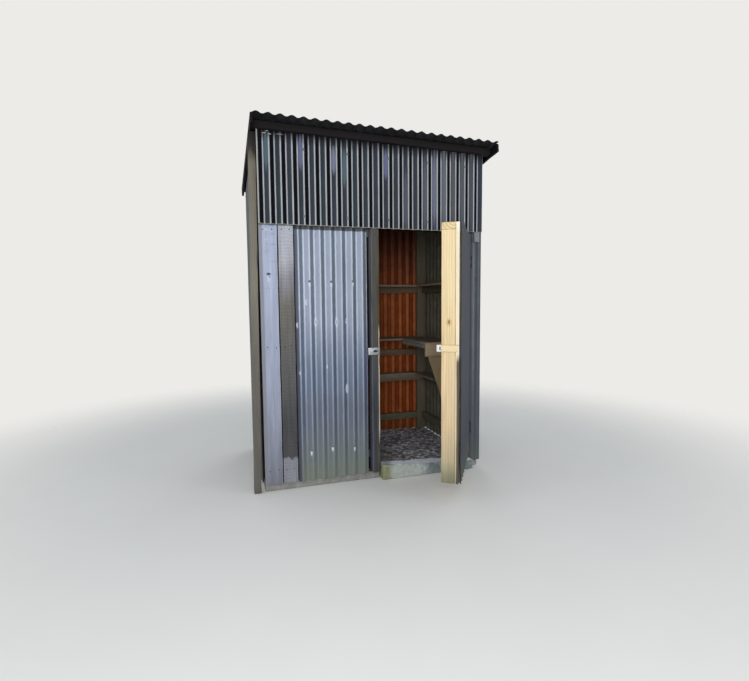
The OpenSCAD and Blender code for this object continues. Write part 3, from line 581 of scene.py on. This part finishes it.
zinc = dippedZinc("galvanisedSteel", {
    "tones": [(0.2, "#8d9194"), (0.8, "#b9bdc0")], "bloom": 0.5, "bloomColour": "#d5d7d9", "rough": 0.38,
    "metallic": 0.6})
coatLooks = {
    "whitePowderCoat": {"tones": [(0.3, "#a9a9a6"), (0.45, "#dededb"), (0.7, "#e8e8e6")], "rough": 0.35,
                        "sheen": 0.4},
    "darkEnamelledSteel": {"tones": [(0.3, "#26282c"), (0.7, "#34373c")], "rough": 0.5, "sheen": 0.3},
    "overpaintedScrew": {"tones": [(0.3, "#5a606b"), (0.7, "#7d8591")], "rough": 0.5, "sheen": 0.3},
    "blackRubberWasher": {"tones": [(0.3, "#17181a"), (0.7, "#222427")], "rough": 0.7, "sheen": 0.2},
    "rustedNail": {"tones": [(0.3, "#33302e"), (0.7, "#54504c")], "rough": 0.7, "sheen": 0.2}}
whiteCoat, darkCoat, screwCoat, rubber, nailSteel = (bakedEnamel(name, look) for name, look in coatLooks.items())
print("materials made:", len(bpy.data.materials))

# Timber and concrete, cut again from the frame's own solids: arrises worn round, faces that wave
turnOf = {"shed": Matrix.Identity(4), "door": openTurn, "roof": roofTurn}
# worn: radius of the arrises. step, across: spacing of the cuts along and across the grain, or steps for x, y and z.
# wave: depth of the wear. chip: depth of the chips on the arrises. bite: size of the wear, its last value along the
# grain. pith: how far the tree's middle lies beside the board. stones: their spacing and depth
timberCut = {"worn": 0.003, "step": 0.045, "across": 0.030, "steps": None, "wave": 0.0010, "chip": 0.0022,
             "bite": (0.02, 0.02, 0.30), "pith": (0.05, 0.14), "stones": None, "along": "z", "turn": "shed",
             "seed": 1}
# weld, cutNear: distances at which points become one. flatAngle, arrisAngle: radians, under the first an edge goes,
# over the second it is an arris. smooth: degrees. octaves: layers of noise. chip values: finer size, shift, level
wear = {"weld": 0.0001, "flatAngle": 0.02, "arrisAngle": 0.35, "cutNear": 0.0004, "smooth": 38, "octaves": 2,
        "chipFine": 2.7, "chipShift": (9, 4, 2), "chipLevel": 0.1, "stoneRound": 1.4}


def sliceSolid(work, steps):
    # cuts the faces at even steps, so that the wear has points to move
    low, high = extent([v.co for v in work.verts])
    for i in range(3):
        count = max(1, round((high[i] - low[i]) / steps[i]))
        for k in range(1, count):
            spot, way = Vector(), Vector()
            spot[i], way[i] = low[i] + (high[i] - low[i]) * k / count, 1
            bmesh.ops.bisect_plane(work, geom=work.verts[:] + work.edges[:] + work.faces[:], plane_co=spot,
                                   plane_no=way, dist=wear["cutNear"])
    work.verts.index_update()


def looseBoards(work):
    # the points of each board that is joined to no other, in a fixed order
    boards, seen = [], set()
    for vert in work.verts:
        if vert in seen:
            continue
        seen.add(vert)
        board = [vert]
        for v in board:
            for other in (e.other_vert(v) for e in v.link_edges):
                if other not in seen:
                    seen.add(other)
                    board.append(other)
        boards.append(board)
    return sorted(boards, key=lambda g: tuple(round(min(v.co[i] for v in g), 4) for i in range(3)))


def wornSolid(name, spec):
    # the node's mesh in its own frame, with round arrises, sliced, and worn inwards by noise
    turn = turnOf["door"] if bodyOf[name] == "door" else turnOf[spec["turn"]]
    work = bmesh.new()
    work.from_mesh(nodes[name].data)
    bmesh.ops.remove_doubles(work, verts=work.verts, dist=wear["weld"])
    bmesh.ops.transform(work, matrix=turn.inverted(), verts=work.verts)
    bmesh.ops.dissolve_limit(work, angle_limit=wear["flatAngle"], verts=work.verts, edges=work.edges)
    sharp = [e for e in work.edges if len(e.link_faces) == 2 and e.calc_face_angle(0) > wear["arrisAngle"]]
    rim = work.verts.layers.float.new("rim")
    made = bmesh.ops.bevel(work, geom=sharp, offset=spec["worn"], offset_type="OFFSET", segments=3, profile=0.5,
                           affect="EDGES", clamp_overlap=True)
    for vert in made["verts"]:
        vert[rim] = 1
    length = "xyz".index(spec["along"])
    sliceSolid(work, spec["steps"] or [spec["step"] if i == length else spec["across"] for i in range(3)])
    # each loose board has its own piece of the tree
    chance = random.Random(spec["seed"])
    boards = []
    for board in looseBoards(work):
        middle = Vector([(a + b) / 2 for a, b in zip(*extent([v.co for v in board]))])
        pith = Vector([chance.uniform(*spec["pith"]) * chance.choice((-1, 1)) for i in range(3)])
        boards.append((board, middle - pith))
    grain, place, moved = {}, {}, []
    order = [(length + 1) % 3, (length + 2) % 3, length]
    for board, origin in boards:
        shift = chance.uniform(0, 40)
        for vert in board:
            p = vert.co.copy()
            a, b, c = (p[i] - origin[i] for i in order)
            grain[vert.index], place[vert.index] = (a, b, c + shift), tuple(p)
            q = [p[i] / size for i, size in zip(order, spec["bite"])]
            q = Vector((q[0], q[1], q[2] + shift))
            lost = spec["wave"] * (0.5 + 0.5 * noise.fractal(q, 1, 2, wear["octaves"] + 1))
            if spec["stones"]:
                spacing, depth = spec["stones"]
                bed = noise.voronoi(p / spacing)[0][0] * wear["stoneRound"]
                lost += depth * min(1, bed) * max(0, vert.normal.z)
            chip = noise.fractal(q * wear["chipFine"] + Vector(wear["chipShift"]), 1, 2, wear["octaves"])
            lost += vert[rim] * spec["chip"] * max(0, chip + wear["chipLevel"])
            moved.append((vert, vert.normal * -max(0, lost)))
    for vert, step in moved:
        vert.co += step
    bmesh.ops.transform(work, matrix=turn, verts=work.verts)
    thing = meshObject(name + ".worn", work, [spec["look"]], wear["smooth"])
    for key, values in (("grain", grain), ("place", place)):
        store(thing, key, "FLOAT_VECTOR", [c for i in range(len(thing.data.vertices)) for c in values[i]])
    return fit(thing, bodyOf[name], slotOf[name], name)


timberPieces = {
    "front_left_post": {"look": "jambPost"}, "door_jamb_post": {"look": "jambPost"},
    "hinge_post": {"look": "framePost"},
    "back_posts": {"look": "framePost"}, "outer_corner_post": {"look": "cornerPost", "chip": 0.004},
    "left_wall_rails": {"look": "sideRail", "along": "y"}, "right_wall_rails": {"look": "sideRail", "along": "y"},
    "back_wall_rails": {"look": "backRail", "along": "x", "chip": 0.004},
    "front_wall_rails": {"look": "jambPost", "along": "x"}, "door_header": {"look": "darkBeam", "along": "x"},
    "front_top_plate": {"look": "darkBeam", "along": "x"}, "back_top_plate": {"look": "darkBeam", "along": "x"},
    "rafters": {"look": "darkBeam", "along": "y", "turn": "roof"},
    "roof_battens": {"look": "darkBeam", "along": "x", "turn": "roof"},
    "barge_boards": {"look": "bargeBoard", "along": "y", "turn": "roof"},
    "front_board_left": {"look": "paintedBoard", "step": 0.05, "wave": 0.0006, "seed": 4},
    "front_board_inner": {"look": "sawnBoard", "step": 0.05, "wave": 0.0007, "seed": 6, "chip": 0.003},
    "jamb_board": {"look": "jambBoard", "step": 0.03, "chip": 0.004, "seed": 7},
    "hinge_side_block": {"look": "blockTimber", "worn": 0.004, "across": 0.015, "step": 0.015},
    "upper_shelf": {"look": "upperShelf", "along": "x", "chip": 0.005},
    "bench_back": {"look": "backBench", "along": "x", "chip": 0.005},
    "bench_right": {"look": "rightBench", "along": "y", "chip": 0.005},
    "bench_end_board": {"look": "endBoard", "along": "x", "chip": 0.004},
    "bench_brace": {"look": "braceBoard", "chip": 0.003},
    "lower_shelf": {"look": "lowerShelf", "along": "x", "chip": 0.006, "wave": 0.002},
    "door_free_stile": {"look": "pineStile", "step": 0.03, "seed": 12, "pith": (0.10, 0.13), "chip": 0.0016,
                        "worn": 0.0022},
    "door_hinge_stile": {"look": "pineStile", "step": 0.04, "seed": 13, "chip": 0.0016},
    "door_rails": {"look": "pineRail", "along": "x", "seed": 14, "pith": (0.03, 0.05), "worn": 0.0022},
    "door_strips": {"look": "pineStrip", "seed": 15, "chip": 0.0016, "worn": 0.0022},
    "latch_packer": {"look": "pinePacker", "along": "y", "seed": 16, "step": 0.012, "across": 0.012, "worn": 0.0018}}
for name, spec in timberPieces.items():
    wornSolid(name, {**timberCut, **spec, "look": timber[spec["look"]]})
concretePieces = {
    "door_sill": {"look": kerbConcrete, "worn": 0.007, "steps": (0.011, 0.011, 0.009), "wave": 0.005, "chip": 0.012,
                  "bite": (0.03, 0.03, 0.03), "seed": 30},
    "floor_slab": {"look": slabConcrete, "worn": 0.006, "steps": (0.014, 0.014, 0.012), "wave": 0.003, "chip": 0.006,
                   "bite": (0.05, 0.05, 0.05), "stones": (0.034, 0.007), "seed": 31}}
for name, spec in concretePieces.items():
    wornSolid(name, {**timberCut, **spec})
print("timber and concrete worn:", len(timberPieces) + len(concretePieces))

# Corrugated sheets
# topFall: how fast the top edge falls along the sheet. crestAt: place of the first crest. dents: middle, half sizes
# and depth. perCrest: points around one corrugation. wobble, swells: depth of the soft waves and how many in a metre
sheetPlain = {"topFall": 0, "dents": [], "turn": turnOf["shed"], "perCrest": 20, "wobble": 0.0012, "swells": (3, 2)}


def ironSheet(name, spec):
    # a rolled sheet on its back plane: dents flatten the corrugations and push them in
    across, up, out, start = (Vector(spec[k]) for k in ("across", "up", "out", "start"))
    depth, skin = sheetRoll["depth"], sheetRoll["skin"]
    cols = math.ceil(spec["width"] / sheetRoll["pitch"] * spec["perCrest"])
    rows = math.ceil(spec["length"] / spec["step"])
    work = bmesh.new()
    front, back, flat = [], [], []
    for j in range(rows + 1):
        for i in range(cols + 1):
            u = spec["width"] * i / cols
            v = (spec["length"] - u * spec["topFall"]) * j / rows
            wave = 0.5 + 0.5 * math.cos(math.tau * (u - spec["crestAt"]) / sheetRoll["pitch"])
            push, keep = 0, 1
            for du, dv, ru, rv, deep in spec["dents"]:
                near = math.exp(-((u - du) / ru) ** 2 - ((v - dv) / rv) ** 2)
                push += deep * near
                keep -= sheetRoll["dentFlat"] * near
            place = Vector((u * spec["swells"][0] + spec["seed"], v * spec["swells"][1], spec["seed"]))
            soft = noise.noise(place) * spec["wobble"]
            lift = depth * (0.5 + (wave - 0.5) * max(keep, sheetRoll["dentLeast"])) + soft - push
            lift = max(sheetRoll["least"], min(depth - sheetRoll["spare"], lift))
            base = start + across * u + up * v
            front.append(base + out * (lift + skin))
            back.append(base + out * (lift + skin - sheetRoll["metal"]))
            flat.append((u - spec["crestAt"], v, 0))
    front, back = ([work.verts.new(spec["turn"] @ p) for p in side] for side in (front, back))
    row = cols + 1
    for j in range(rows):
        for i in range(cols):
            a = j * row + i
            work.faces.new((front[a], front[a + 1], front[a + row + 1], front[a + row]))
            work.faces.new((back[a], back[a + row], back[a + row + 1], back[a + 1]))
    edges = [(i, i + 1) for i in range(cols)] + [(rows * row + i + 1, rows * row + i) for i in range(cols)]
    edges += [((j + 1) * row, j * row) for j in range(rows)]
    edges += [(j * row + cols, (j + 1) * row + cols) for j in range(rows)]
    for a, b in edges:
        work.faces.new((front[b], front[a], back[a], back[b]))
    thing = meshObject(name, work, [iron[spec["paint"]]], smoothAngle=50)
    store(thing, "flat", "FLOAT_VECTOR", [c for p in flat + flat for c in p])
    store(thing, "inner", "FLOAT", [0.0] * len(front) + [1.0] * len(back))
    return fit(thing, bodyOf[spec["node"]], slotOf[spec["node"]], spec["node"])


def wallSheet(node, across, out, **more):
    # what a wall's sheet takes from its node's box
    low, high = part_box(node)
    size = high - low
    across, out = Vector(across), Vector(out)
    start = [low[i] if out[i] >= 0 else high[i] for i in range(2)]
    return {**sheetPlain, "node": node, "start": (*start, low.z), "across": across, "up": (0, 0, 1), "out": out,
            "width": abs(across.dot(size)), "length": size.z - more.pop("trim", 0), **more}


doorLow, doorHigh = extent([shutTurn @ v.co for v in nodes["door_sheet"].data.vertices])
roofSheet = {**sheetPlain, "across": (1, 0, 0), "up": (0, 1, 0), "out": (0, 0, 1),
             "length": roof["back"] - roof["front"], "crestAt": 0.0381, "step": 0.05, "turn": roofTurn,
             "paint": "roofIron"}
halfPitch = sheetRoll["pitch"] / 2
sheets = {
    "upper_iron": wallSheet("front_upper_sheet", (1, 0, 0), (0, -1, 0), trim=0.003, paint="upperIron", seed=3,
                            topFall=leanTan, crestAt=0.004, step=0.02,
                            dents=[(0.10, 0.60, 0.03, 0.02, 0.002), (0.75, 0.35, 0.02, 0.05, 0.003),
                                   (1.18, 0.20, 0.015, 0.03, 0.003)]),
    "lower_iron": wallSheet("front_lower_sheet", (1, 0, 0), (0, -1, 0), paint="lowerIron", seed=8, crestAt=0.024,
                            step=0.014, perCrest=24,
                            dents=[((x + 607) / 1000, (z - 69) / 1000, 0.013, 0.013, 0.005) for x, z in lowerScrews]
                            + [(0.36, 0.66, 0.012, 0.035, 0.006), (0.22, 0.83, 0.014, 0.02, 0.004),
                               (0.076, 1.29, 0.012, 0.03, 0.003), (0.14, 1.15, 0.012, 0.04, 0.003),
                               (0.29, 1.15, 0.012, 0.04, 0.003), (0.02, 0.8, 0.012, 0.03, 0.003)]),
    "strip_iron": wallSheet("hinge_side_sheet", (1, 0, 0), (0, -1, 0), paint="stripIron", seed=5, crestAt=0.038,
                            step=0.03),
    "left_iron": wallSheet("left_wall_sheet", (0, 1, 0), (-1, 0, 0), trim=0.001, paint="sideIron", seed=11,
                           topFall=fallTan, crestAt=0, step=0.06, perCrest=16),
    "right_iron": wallSheet("right_wall_sheet", (0, 1, 0), (1, 0, 0), trim=0.001, paint="sideIron", seed=12,
                            topFall=fallTan, crestAt=halfPitch, step=0.06, perCrest=16),
    "back_iron": wallSheet("back_wall_sheet", (1, 0, 0), (0, 1, 0), trim=0.003, paint="rustIron", seed=13,
                           topFall=leanTan, crestAt=0, step=0.06, perCrest=16),
    "roof_iron_left": {**roofSheet, "node": "roof_sheet_left", "seed": 21,
                       "start": (roof["left"], roof["front"], roof["seats"][0]),
                       "width": roof["lapAt"] + sheetRoll["pitch"] - roof["left"]},
    "roof_iron_right": {**roofSheet, "node": "roof_sheet_right", "seed": 22,
                        "start": (roof["lapAt"], roof["front"], roof["seats"][1]),
                        "width": roof["right"] - roof["lapAt"]},
    "door_iron": {**sheetPlain, "node": "door_sheet", "paint": "doorIron", "seed": 31,
                  "start": (doorLow.x, doorHigh.y, doorLow.z), "across": (1, 0, 0), "up": (0, 0, 1),
                  "out": (0, -1, 0), "width": doorHigh.x - doorLow.x, "length": doorHigh.z - doorLow.z,
                  "crestAt": 0, "step": 0.04, "turn": openTurn}}
for name in ("left_iron", "back_iron"):
    sheets[name]["crestAt"] = sheets[name]["width"] - halfPitch
for name, spec in sheets.items():
    ironSheet(name, spec)
print("sheets rolled:", len(sheets))

# Screws and nails: a domed head on a washer, on crests and in the boards
headShapes = {
    "screw": {"profile": [(0, -0.001), (0.0085, -0.001), (0.009, 0.0005), (0.0085, 0.0015), (0.0062, 0.0015),
                          (0.006, 0.004), (0.0042, 0.0058), (0, 0.0062)], "around": 12},
    "nail": {"profile": [(0, -0.001), (0.0042, -0.001), (0.0044, 0.0006), (0.003, 0.0014), (0, 0.0017)],
             "around": 10}}
heads = {
    "ironFace": -543.8, "boardFace": -548.0, "sink": 0.0008, "wallRows": (0.19, 0.58, 0.94, 1.43, -0.08),
    "backRows": (0.19, 0.58, 0.83, 1.43, -0.08), "upperRows": (0.06, -0.10), "roofRows": (0.09, 0.62, 1.18),
    "nails": [(-816, 1812), (-758, 1815), (-693, 1817), (-640, 1819), (-806, 1020), (-745, 1014), (-690, 1018),
              (-642, 1022), (-812, 150), (-750, 154), (-694, 148), (-644, 152), (-30, 1800), (-34, 160)]}


def fastenings(name, node, kind, spots, material):
    # every head of one group in one mesh. A spot is a point and the way its head faces
    work = bmesh.new()
    for point, way in spots:
        lathe(work, point, way, **headShapes[kind])
    return fit(meshObject(name, work, [material], smoothAngle=40), bodyOf[node], slotOf[node])


def onFront(places, y):
    # spots on a plane of the front, from their x and z in mm
    return [(Vector((x, y, z)) / 1000, Vector((0, -1, 0))) for x, z in places]


def onCrests(spec, rows, every=3, skip=0):
    # spots on a sheet's crests, at heights along it. A height below 0 is taken from the top edge
    across, up, out, start = (Vector(spec[k]) for k in ("across", "up", "out", "start"))
    first = spec["crestAt"] % sheetRoll["pitch"]
    count = int((spec["width"] - first) / sheetRoll["pitch"]) + 1
    lift = sheetRoll["depth"] + sheetRoll["skin"] - heads["sink"]
    spots = []
    for u in [first + sheetRoll["pitch"] * k for k in range(0, count, every)][skip:]:
        for v in rows:
            top = spec["length"] - u * spec["topFall"]
            point = start + across * u + up * (v if v > 0 else top + v) + out * lift
            spots.append((spec["turn"] @ point, spec["turn"].to_3x3() @ out))
    return spots


fastenings("lower_iron_screws", "front_lower_sheet", "screw", onFront(lowerScrews, heads["ironFace"]), screwCoat)
fastenings("upper_iron_screws", "front_upper_sheet", "screw",
           onCrests(sheets["upper_iron"], heads["upperRows"], 4, 1), screwCoat)
for name, rows in (("left_iron", "wallRows"), ("right_iron", "wallRows"), ("back_iron", "backRows")):
    fastenings(name + "_screws", sheets[name]["node"], "screw", onCrests(sheets[name], heads[rows]), screwCoat)
for name in ("roof_iron_left", "roof_iron_right"):
    fastenings(name + "_screws", sheets[name]["node"], "screw", onCrests(sheets[name], heads["roofRows"], 3, 1),
               rubber)
fastenings("board_nails", "front_board_left", "nail", onFront(heads["nails"], heads["boardFace"]), nailSteel)
print("screws and nails set")

# Latch: a rim lock's white case with its bolt, and a galvanised hasp on the jamb whose eye holds a dark disc of
# painted shade
# worn: radius of the edges. eye: x and z of the eye's middle. dark: the disc of painted shade inside the eye
latch = {
    "worn": 0.003, "mouth": {"stand": 0.0006, "deep": 0.003, "from": 0.004, "to": 0.012, "half": 0.012,
                             "worn": 0.0008},
    "cover": {"inX": 0.006, "inZ": 0.008, "deep": 0.002, "sunk": 0.0002, "worn": 0.001}}
hasp = {"worn": 0.0011, "eye": (-0.036, 0.963), "half": (0.0175, 0.0085), "rim": 0.005, "stand": (0.001, 0.0035),
        "steps": 28, "tube": 8, "nailIn": 0.010, "dark": {"sunk": 0.0004, "over": 1.1, "taller": 1.15}}


def bevelledBox(work, low, high, width, segments=2):
    made = bmesh.ops.create_cube(work, size=1)["verts"]
    for vert in made:
        vert.co = Vector([low[i] if vert.co[i] < 0 else high[i] for i in range(3)])
    edges = list(dict.fromkeys(e for v in made for e in v.link_edges))
    bmesh.ops.bevel(work, geom=edges, offset=width, segments=segments, profile=0.5, affect="EDGES",
                    clamp_overlap=True)


def secondMaterial(work, start):
    # the faces made since start take the object's second material
    for face in list(work.faces)[start:]:
        face.material_index = 1


low, high = extent([shutTurn @ v.co for v in nodes["latch_case"].data.vertices])
mouth, cover = latch["mouth"], latch["cover"]
work = bmesh.new()
bevelledBox(work, low, high, latch["worn"], 3)
start = len(work.faces)
middleZ = (low.z + high.z) / 2
# the bolt's mouth on the edge that meets the keeper, in dark coat as painted shade of the slot, and the cover on the
# back
bevelledBox(work, (low.x - mouth["stand"], low.y + mouth["from"], middleZ - mouth["half"]),
            (low.x + mouth["deep"], low.y + mouth["to"], middleZ + mouth["half"]), mouth["worn"])
bevelledBox(work, (low.x + cover["inX"], high.y - cover["deep"], low.z + cover["inZ"]),
            (high.x - cover["inX"], high.y - cover["sunk"], high.z - cover["inZ"]), cover["worn"])
secondMaterial(work, start)
bmesh.ops.transform(work, matrix=openTurn, verts=work.verts)
body = meshObject("latch_case_body", work, [whiteCoat, darkCoat], smoothAngle=40)
fit(body, "door", slotOf["latch_case"], "latch_case")

low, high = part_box("latch_keeper")
work = bmesh.new()
bevelledBox(work, low, high, hasp["worn"])
eyeX, eyeZ = hasp["eye"]
halfX, halfZ = hasp["half"]
stand, rimHeight = hasp["stand"]
rings = []
for t in (math.tau * i / hasp["steps"] for i in range(hasp["steps"])):
    ring = []
    for turn in (math.tau * k / hasp["tube"] for k in range(hasp["tube"])):
        wide = hasp["rim"] * 0.5 * (1 + math.cos(turn))
        ring.append(work.verts.new((eyeX + (halfX + wide) * math.cos(t),
                                    low.y + stand - rimHeight * (1 + math.sin(turn)) / 2,
                                    eyeZ + (halfZ + wide) * math.sin(t))))
    rings.append(ring)
for a, b in zip(rings, rings[1:] + rings[:1]):
    for k in range(hasp["tube"]):
        n = (k + 1) % hasp["tube"]
        work.faces.new((a[k], b[k], b[n], a[n]))
# a dark disc inside the eye: painted shade of the hole
start = len(work.faces)
dark = hasp["dark"]
disc = halfX * dark["over"]
lathe(work, (eyeX, low.y - dark["sunk"], eyeZ), (0, -1, 0), [(0, -0.001), (disc, -0.001), (disc, 0), (0, 0.0003)],
      hasp["steps"], squeeze=halfZ / halfX * dark["taller"])
secondMaterial(work, start)
for x, z in ((low.x + hasp["nailIn"], high.z - hasp["nailIn"]), (low.x + hasp["nailIn"], low.z + hasp["nailIn"]),
             (high.x - hasp["nailIn"], high.z - hasp["nailIn"])):
    lathe(work, (x, low.y, z), (0, -1, 0), **headShapes["nail"])
plate = meshObject("latch_keeper_hasp", work, [zinc, darkCoat], smoothAngle=40)
fit(plate, "shed", slotOf["latch_keeper"], "latch_keeper")
for name in ("post_hinges", "door_hinges"):
    for slot in nodes[name].material_slots:
        slot.material = darkCoat
print("latch and hinges made")

# Camera at the photograph's viewing angle
cameraLook = {"place": (-1.0999, -3.8355, 1.3210), "focal": 473.9604, "wide": 749, "sensor": 36, "yaw": -0.312335,
              "pitch": 0.0809173, "roll": 0.00917624}
yaw, pitch, roll = (cameraLook[k] for k in ("yaw", "pitch", "roll"))
forward = Vector((-math.sin(yaw) * math.cos(pitch), math.cos(yaw) * math.cos(pitch), -math.sin(pitch)))
level = Vector((math.cos(yaw), math.sin(yaw), 0))
down = -level.cross(forward)
right = level * math.cos(roll) + down * math.sin(roll)
down = down * math.cos(roll) - level * math.sin(roll)
camera = bpy.data.objects.new("camera", bpy.data.cameras.new("camera"))
camera.matrix_world = Matrix.Translation(cameraLook["place"]) @ Matrix((right, -down, -forward)).transposed().to_4x4()
camera.data.sensor_width = cameraLook["sensor"]
camera.data.lens = cameraLook["focal"] / cameraLook["wide"] * cameraLook["sensor"]
camera.data.clip_end = 200
scene.collection.objects.link(camera)
scene.camera = camera

# Soft studio light
world = bpy.data.worlds.new("studio")
scene.world = world
world.use_nodes = True
studio = {"air": "#dfe5ea", "airStrength": 0.74, "backdrop": "#ecebe8"}
addWorld = partial(addNode, world.node_tree)
rays = {s.name: s for s in addWorld("LightPath", {}, out="all")}
seen = addWorld("Math", {0: rays["Is Camera Ray"], 1: rays["Is Glossy Ray"]}, operation="MAXIMUM")
seen = addWorld("Math", {0: seen, 1: rays["Is Transmission Ray"]}, operation="MAXIMUM")
pale = addWorld("Mix", {"Factor": seen, "A": linear(studio["air"]), "B": linear(studio["backdrop"])},
                data_type="RGBA")
strength = addWorld("MapRange", {"Value": seen, "To Min": studio["airStrength"], "To Max": 1})
plug(world.node_tree.nodes["Background"], {"Color": pale, "Strength": strength})
lamps = {
    "keyLamp": {"place": (-2.8, -5.0, 3.6), "aim": (0, -0.4, 1.1), "size": (3.6, 3.6), "watts": 40},
    "doorwayFill": {"place": (-1.3, -4.6, 1.6), "aim": (0.3, 0.2, 1.0), "size": (2.0, 2.0), "watts": 62},
    "leftStrip": {"place": (-4.6, -1.4, 1.8), "aim": (0, -0.5, 1.3), "size": (0.9, 3.2), "watts": 17},
    "rightStrip": {"place": (3.6, -4.0, 1.9), "aim": (0, -0.5, 1.4), "size": (0.9, 3.2), "watts": 25},
    "backFill": {"place": (2.4, 4.6, 3.4), "aim": (0, 0.4, 1.2), "size": (2.0, 2.0), "watts": 30},
}
for name, lamp in lamps.items():
    light = bpy.data.lights.new(name, "AREA")
    light.shape, light.size, light.size_y = "RECTANGLE", *lamp["size"]
    light.energy = lamp["watts"]
    holder = bpy.data.objects.new(name, light)
    holder.location = lamp["place"]
    holder.rotation_euler = (Vector(lamp["aim"]) - Vector(lamp["place"])).to_track_quat("-Z", "Y").to_euler()
    holder.visible_camera = False
    scene.collection.objects.link(holder)

# Pale floor that runs out into the backdrop
ground = {"radius": 14, "around": 48, "fadeFrom": 2.0, "fadeTo": 4.6, "colour": "#e3e2df"}
floorMaterial, addFloor, floorShader = startMaterial("paleFloor")
spot = addFloor("TexCoord", {}, out="Object")
speck = addFloor("TexNoise", {"Vector": spot, "Scale": 3, "Detail": 4})
speck = addFloor("MapRange", {"Value": speck, "To Min": 0.98, "To Max": 1.02})
tone = addFloor("VectorMath", {0: linear(ground["colour"])[:3], "Scale": speck}, operation="SCALE")
plug(floorShader, {"Base Color": tone, "Roughness": 0.9})
away = addFloor("VectorMath", {0: spot}, operation="LENGTH", out="Value")
away = addFloor("MapRange", {"Value": away, "From Min": ground["fadeFrom"], "From Max": ground["fadeTo"]},
                interpolation_type="SMOOTHSTEP")
clear = addFloor("BsdfTransparent", {})
blend = addFloor("MixShader", {0: away, 1: floorShader.outputs[0], 2: clear})
plug(floorMaterial.node_tree.nodes["Material Output"], {"Surface": blend})
work = bmesh.new()
bmesh.ops.create_circle(work, cap_ends=True, cap_tris=True, radius=ground["radius"], segments=ground["around"])
floor = meshObject("floor", work, [floorMaterial], smoothAngle=30)
scene.collection.objects.link(floor)
scene.view_settings.view_transform = "Standard"
print("camera, lamps and floor set")
